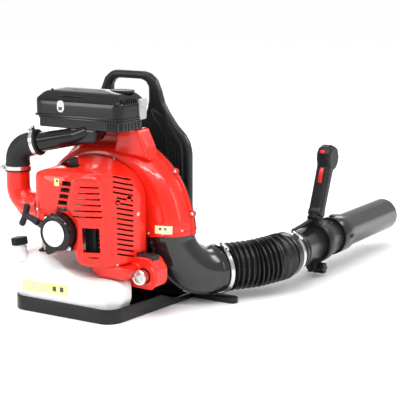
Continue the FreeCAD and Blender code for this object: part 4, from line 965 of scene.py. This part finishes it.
def horn():
    """The red horn with its mounting plate and its web."""
    line = arc_route([HORN_TOP, HORN_TOP - Z * 84, HORN_TOP - Z * 84 + X * 63], [36], 2.5)
    pipe = sweep(line, lambda share, angle: 25 + 1.6 * swell(share, 0.12, 0.03), 64)
    web = slab("XZ", rounded([(-196, 286), (-184, 286), (-184, 214), (-150, 181), (-104, 181), (-104, 190),
                              (-150, 192), (-190, 222)], 4), -202.5, -197.5)
    chunks = [pipe, plate("YZ", (-221, -179), (191, 241), 10, -104, -96), web]
    fix(moulded("horn_finished", chunks, RED, 1.8, 5), "red_shell", "intake_horn")


def worm_clamp(centre, way, radius, width, toward):
    """Chunks of a band clamp with a screw housing on the side given."""
    thick = 1.3
    way = Vector(way).normalized()
    out = (Vector(toward) - way * Vector(toward).dot(way)).normalized()
    side = way.cross(out)
    half = width / 2
    band = tube_lathe([(radius, -half), (radius + thick, -half + 0.5), (radius + thick, half - 0.5), (radius, half)],
                      [(radius - 0.4, -half), (radius - 0.4, half)], centre, way, 96)
    spot = Vector(centre) + out * (radius + thick)
    axes = Matrix((side, way, out)).transposed()
    case = slab("XZ", rounded([(-9, -1), (9, -1), (7, 6.4), (-7, 6.4)], 2), -half - 0.8, half + 0.8)
    axle = spot + out * 4
    worm = rod(3.4, 21, axle - side * 13, side, 0.8, 20)
    head = rod(4.6, 5, axle + side * 8.4, side, 0.8, 6)
    slot = rod(3.1, 6, axle + side * 8.6, side, 0.4, 20)
    return [band, moved(case, spot, axes), worm, head, slot]


# ---- outlet elbow and hose

HOSE_MIDDLE = Vector((252, 97, 71))
HOSE_WAY = Vector((0.567, 0.817, 0.077)).normalized()
TUBE_START = Vector((285, 148, 79))
ELBOW_END = Vector((205.4, 26.2, 68.7))
ELBOW_WAY = Vector((0.34, 0.94, 0.02)).normalized()


def outlet_elbow():
    """The elbow below the outlet, with the seam ridge between its halves and a cuff at each end."""
    line = arc_route([MOUTH - DOWN * 12, (167, -80, 66.5), ELBOW_END + ELBOW_WAY * 2], [95], 3)

    def skin(share, angle):
        ridge = 3.4 if abs(math.cos(angle)) < 0.02 and 0.1 < share < 0.9 else 0
        cuff = 2.0 / (1 + math.exp((share - 0.14) * 90)) + 2.4 / (1 + math.exp((0.86 - share) * 90))
        return 48 + ridge + cuff + 1.2 * math.sin(math.pi * share)
    pipe = sweep(line, skin, 96, Vector((0.25, 0.75, 0.6)))
    fix(solid("elbow_finished", [pipe], ELBOW, 28), "elbow", "outlet_elbow")


def bellows(line, lead, tail):
    """A sleeve with six pleats along a line, plain over the lead and tail shares of its length."""
    pleats, plain, crest, root = 6, 49.4, 53.0, 43.5

    def skin(share, angle):
        if share < lead or share > 1 - tail:
            return plain
        t = (share - lead) / (1 - tail - lead) * pleats
        return root + (crest - root) * (0.5 - 0.5 * math.cos(2 * math.pi * t)) ** 1.25
    return sweep(resampled(line, 0.9), skin, 80)


def hose():
    """The two halves of the bellows and the swivel ring between them."""
    ring_half = HOSE_WAY * 2.6
    line = arc_route([ELBOW_END - ELBOW_WAY * 12, ELBOW_END + ELBOW_WAY * 16, HOSE_MIDDLE - ring_half], [62], 0.9)
    bridge(solid("hose_rear_sleeve", [bellows(line, 0.19, 0.0)], HOSE, 60), "hose_rear")
    line = arc_route([HOSE_MIDDLE + ring_half, TUBE_START, TUBE_START + Y * 38], [58], 0.9)
    bridge(solid("hose_front_sleeve", [bellows(line, 0.0, 0.27)], HOSE, 60), "hose_front")
    profile = [(0, -2.4), (46, -2.4), (51.5, -1.8), (53.2, 0), (51.5, 1.8), (46, 2.4), (0, 2.4)]
    swivel = solid("swivel_ring", [lathe(profile, HOSE_MIDDLE, HOSE_WAY, 96)], HOSE, 40)
    fix(swivel, "hose", "hose_ring", body="hose_ring")


def band_clamps():
    """The clamps of the intake and of both ends of the hose."""
    clamps = worm_clamp(ELBOW_END - ELBOW_WAY * 5, ELBOW_WAY, 53.2, 10, (0.2, -0.5, 0.8))
    clamps += worm_clamp(DUCT_CORNER + DUCT_WAY * 60.5, DUCT_WAY, 27.6, 9, (0.2, -0.3, 1))
    clamps += worm_clamp(HORN_TOP - Z * 8.5, Z, 27.6, 9, (-0.9, -0.45, 0))
    fix(solid("band_clamps", clamps, STEEL, 30), "clamp_band", "hose_clamps")
    clamps = worm_clamp(TUBE_START + Y * 32.5, Y, 49.6, 9, (0.5, 0, 0.8))
    fix(solid("tube_clamp_finished", clamps, STEEL, 30), "clamp_band", "tube_clamp", body="tube")


# ---- carrying frame

HALF_FRAME = [(132, 13), (132, 128), (154, 148), (154, 324), (149, 343), (139, 359), (118, 379), (98, 404), (85, 424),
              (76, 452), (66, 474), (52, 486), (36, 491)]
HALF_LOOP = [(36, 388), (46, 412), (50, 432), (50, 458), (42, 470), (30, 474)]


def mirrored(half):
    """A whole outline from its right half."""
    return half + [(-u, v) for u, v in reversed(half)]


BORDER = [(124, 16), (124, 132), (145.4, 152), (145.4, 321), (141, 338), (132, 352), (111, 373), (91, 399), (77, 421),
          (68, 449), (59, 467.4), (48, 478.4), (34, 482.4)]
LOOP_TUBE = [(-56, 470), (-57, 430), (-52, 408), (-40, 384), (0, 378), (40, 384), (52, 408), (57, 430), (56, 470)]


def carrying_frame():
    """The moulded back frame with a tubular border, a carry loop and flutes."""
    obj = solid("frame_form", [slab("XZ", rounded(mirrored(HALF_FRAME), 8), -15, 2)], FRAME)
    carve(obj, [slab("XZ", rounded(mirrored(HALF_LOOP), 10), -40, 20)])
    parts = [sweep(curve([(u, -8, v) for u, v in mirrored(BORDER)], 6), 8.6, 28),
             sweep(curve([(u, -8, v) for u, v in LOOP_TUBE], 6), 7.2, 24)]
    for k in range(5):
        x, top = 134 - 8.4 * k, 322 + 4 * k
        flute = [(x, -16, 60 if x < 120 else 160), (x, -16.4, 200), (x, -16.4, top), (x - 12, -16.4, top + 30),
                 (x - 30, -16.4, top + 54), (x - 40, -16, top + 72)]
        for side in (1, -1):
            parts.append(sweep(curve([(side * a, b, c) for a, b, c in flute], 8), 2.3, 16))
    parts.append(slab("XZ", rounded(mirrored([(130, 13), (130, 34)]), 6), -19, 3.6))
    obj = joined("frame_finished", obj, solid("frame_parts", parts, FRAME))
    melted(obj, 2.2, 5, 50)
    fix(obj, "frame", "back_frame")


def base_tray():
    """The moulded base tray and the stabiliser foot."""
    refined("base_plate", FRAME, 1.8)
    refined("foot_bar", FRAME, 1.6)


# ---- silencer

OUTLET = Vector((152, -205, 90))


def silencer():
    """The red guard around the silencer's outlet, the outlet itself and what shows through the window, where a black
    plate is painted shade.
    """
    arch = rounded([(117, 66), (172, 64), (180, 76), (180, 104), (164, 126), (134, 127), (117, 112)], 12)
    hood = slab("XZ", arch, -186, -139)
    belly = slab("XZ", rounded([(52, 98), (68, 87), (142, 87), (142, 112), (52, 112)], 8), -230, -141)
    rib = sweep([Vector((u, -186, v)) for u, v in arch + arch[:1]], 2.6, 16)
    guard = moulded("guard_finished", [hood, belly, rib], RED, 1.8, 6)
    carve(guard, [rod(16.4, 60, OUTLET - Y * 25, Y)])
    fix(guard, "red_shell", "muffler_guard")
    outer = [(15.4, 0), (16.2, 1), (16.2, 6), (14.2, 7), (14.2, 27)]
    pipe = tube_lathe(outer, [(11.6, 0), (11.4, 27)], OUTLET, Y, 56)
    plug = lathe([(0, 4), (11.5, 4), (11.5, 6), (0, 6)], OUTLET, Y, 40)
    grid = [(i, j) for i in range(-3, 4) for j in range(-3, 4) if i * i + j * j < 10]
    mesh = [rod(0.9, 3, OUTLET + Vector((3.4 * i, 2.5, 3.4 * j)), Y, 0, 6) for i, j in grid]
    fix(solid("exhaust_finished", [pipe, plug] + mesh, STEEL, 30), "exhaust", "exhaust_pipe")
    fins = [block((70, 100), (-231 + 0.5 * k, -224), (148 + 9 * k, 151 + 9 * k)) for k in range(6)]
    fins += [rod(5, 7, (88, -236, 150 + 20 * k), Y, 1, 20) for k in range(3)]
    fix(solid("silencer_fins", fins, ALLOY, 30), "muffler_steel")
    # Painted shade: a black plate behind the window's left half stands in for the shade inside the cover.
    shade_plate = moulded("window_shade_plate", [block((46, 72), (-243, -239), (134, 204))], BLACK, 1.2, 3)
    fix(shade_plate, "muffler_steel")


def cleaner_stand():
    """The red pedestal that carries the air cleaner."""
    feet = [([(38, 330), (122, 322), (112, 346), (97, 382), (50, 382)], 6, -127, -86),
            ([(-90, 334), (-46, 340), (-50, 382), (-76, 382)], 5, -127, -86),
            ([(84, 322), (124, 316), (116, 344), (98, 381), (84, 381)], 4, -118, -84)]
    chunks = [slab("XZ", rounded(outline, corner), front, back) for outline, corner, front, back in feet]
    fix(moulded("bracket_finished", chunks, RED, 2.0, 6), "red_shell", "cleaner_bracket")


# ---- control grip

GRIP_LEAN = math.radians(22)


def grip_point(a, u, x=TUBE_START.x):
    """A point of the grip from its distance forward and up along the lean."""
    cos, sin = math.cos(GRIP_LEAN), math.sin(GRIP_LEAN)
    return Vector((x, 325 + a * cos + u * sin, 137 + u * cos - a * sin))


def control_grip():
    """The moulded pistol grip with its head, collar and panel screws."""
    outline = [(-15, 4), (14, 4), (14, 14), (12, 22), (12.5, 60), (14, 118), (25, 125), (31, 138), (30, 158),
               (17, 173), (-9, 174), (-23, 163), (-26, 148), (-22, 134), (-13, 122), (-12, 70), (-12, 20), (-15, 14)]
    head = 150
    rings = []
    for x, shrink in ((267.5, 4.4), (270, 1.8), (276, 0), (294, 0), (300, 1.8), (302.5, 4.4)):
        rings.append([grip_point(a - math.copysign(min(shrink, abs(a)), a), u - (shrink if u > head else 0), x)
                      for a, u in rounded(outline, 5)])
    grip = moulded("grip_finished", [loft(rings)], BLACK, 1.5, 7)
    profile = [(0, -3), (19, -3), (19, 2), (15.5, 4), (15.5, 8), (0, 9)]
    foot = lathe(profile, grip_point(0, 0), grip_point(0, 1) - grip_point(0, 0), 40)
    screws = [screw(grip_point(a, u, 298), X, 2.2, 1.2) for a, u in ((0, 30), (0, 96), (4, 156))]
    body = joined("control_grip_finished", grip, solid("grip_foot", [foot], BLACK, 30),
                  solid("grip_screws", screws, DARK_STEEL, 30))
    fix(body, "grip", "control_grip", body="tube")


# ---- harness

def back_pad():
    """The padded back panel, inflated from its outline, with three sewn channels."""
    outline = [(-93, 133), (93, 133), (107, 171), (107, 285), (82, 315), (-82, 315), (-107, 285), (-107, 171)]
    pad = solid("back_pad_cushion", [slab("XZ", rounded(outline, 16), 5, 20)], PAD_CLOTH)
    melted(pad, 5, 3)
    flat = [v.co.copy() for v in pad.data.vertices]
    frames, furthest = 20, 0.010
    cloth = pad.modifiers.new("cloth", "CLOTH")
    cloth.settings.use_pressure = True
    cloth.settings.uniform_pressure_force = 4
    cloth.settings.quality = 4
    cloth.settings.effector_weights.gravity = 0
    cloth.point_cache.frame_start = 1
    cloth.point_cache.frame_end = frames
    for step in range(1, frames + 1):
        bpy.context.scene.frame_set(step)
    bake(pad, 60)
    bpy.context.scene.frame_set(1)
    back, middle, front = 0.0045, 0.012, 0.0295
    for vert, before in zip(pad.data.vertices, flat):
        shift = vert.co - before
        if shift.length > furthest:
            shift *= furthest / shift.length
        vert.co = before + shift
        vert.co.y = max(vert.co.y, back) if before.y < middle else min(vert.co.y, front)
    smooth = pad.modifiers.new("subdivide", "SUBSURF")
    smooth.levels = smooth.render_levels = 1
    bake(pad, 80)
    depth, width = 0.0045, 0.004
    for vert in pad.data.vertices:
        seam = min(abs(abs(vert.co.x) - 0.034), abs(vert.co.z - 0.222) + 0.003)
        if vert.co.y > 0.016:
            vert.co.y -= depth * math.exp(-(seam / width) ** 2)
    fix(pad, "pad", "back_pad")


def straps():
    """The two webbing shoulder straps with stitched edges, and their buckles."""
    middle = [(30, 336), (50, 347), (78, 332), (95, 280), (89, 203), (64, 134), (30, 100)]
    power = 3.4

    def section(share, angle):
        wide, thin = 24 - 5 * abs(2 * share - 1) ** 5, 4.6
        return (abs(math.sin(angle) / wide) ** power + abs(math.cos(angle) / thin) ** power) ** (-1 / power)
    runs, stitches = [], []
    for side in (1, -1):
        line = resampled(curve([(side * 60, y, z) for y, z in middle], 10), 3)
        runs.append(sweep(line, section, 72, X))
        for inset in (-19, 19):
            spots = [Vector(p) + X * side * inset for p in line[8:-8]]
            rings = sweep_rings(spots, 4.3, 4, (0, 1, 0))
            stitches.append(sweep([each[0] for each in rings], 0.7, 8))
    fix(solid("strap_runs", runs, WEBBING, 60), "webbing", "shoulder_straps")
    refined("strap_buckles", BLACK, 1.0)
    fix(solid("strap_stitching", stitches, LATCH, 60), "webbing")


# ---- assembly

def plain_nodes():
    """Every CAD node that has no piece of its own yet."""
    for node in frame["nodes"]:
        if node not in COVERED:
            refined(node)


camera()
studio()
case = fan_case()
cover_details(engine_cover(), case)
starter()
pull_handle()
tank_labels(fuel_tank())
tank_cap()
cleaner_case()
cleaner_lid()
latches()
duct()
intake_elbow()
horn()
outlet_elbow()
hose()
band_clamps()
carrying_frame()
base_tray()
silencer()
cleaner_stand()
control_grip()
back_pad()
straps()
plain_nodes()
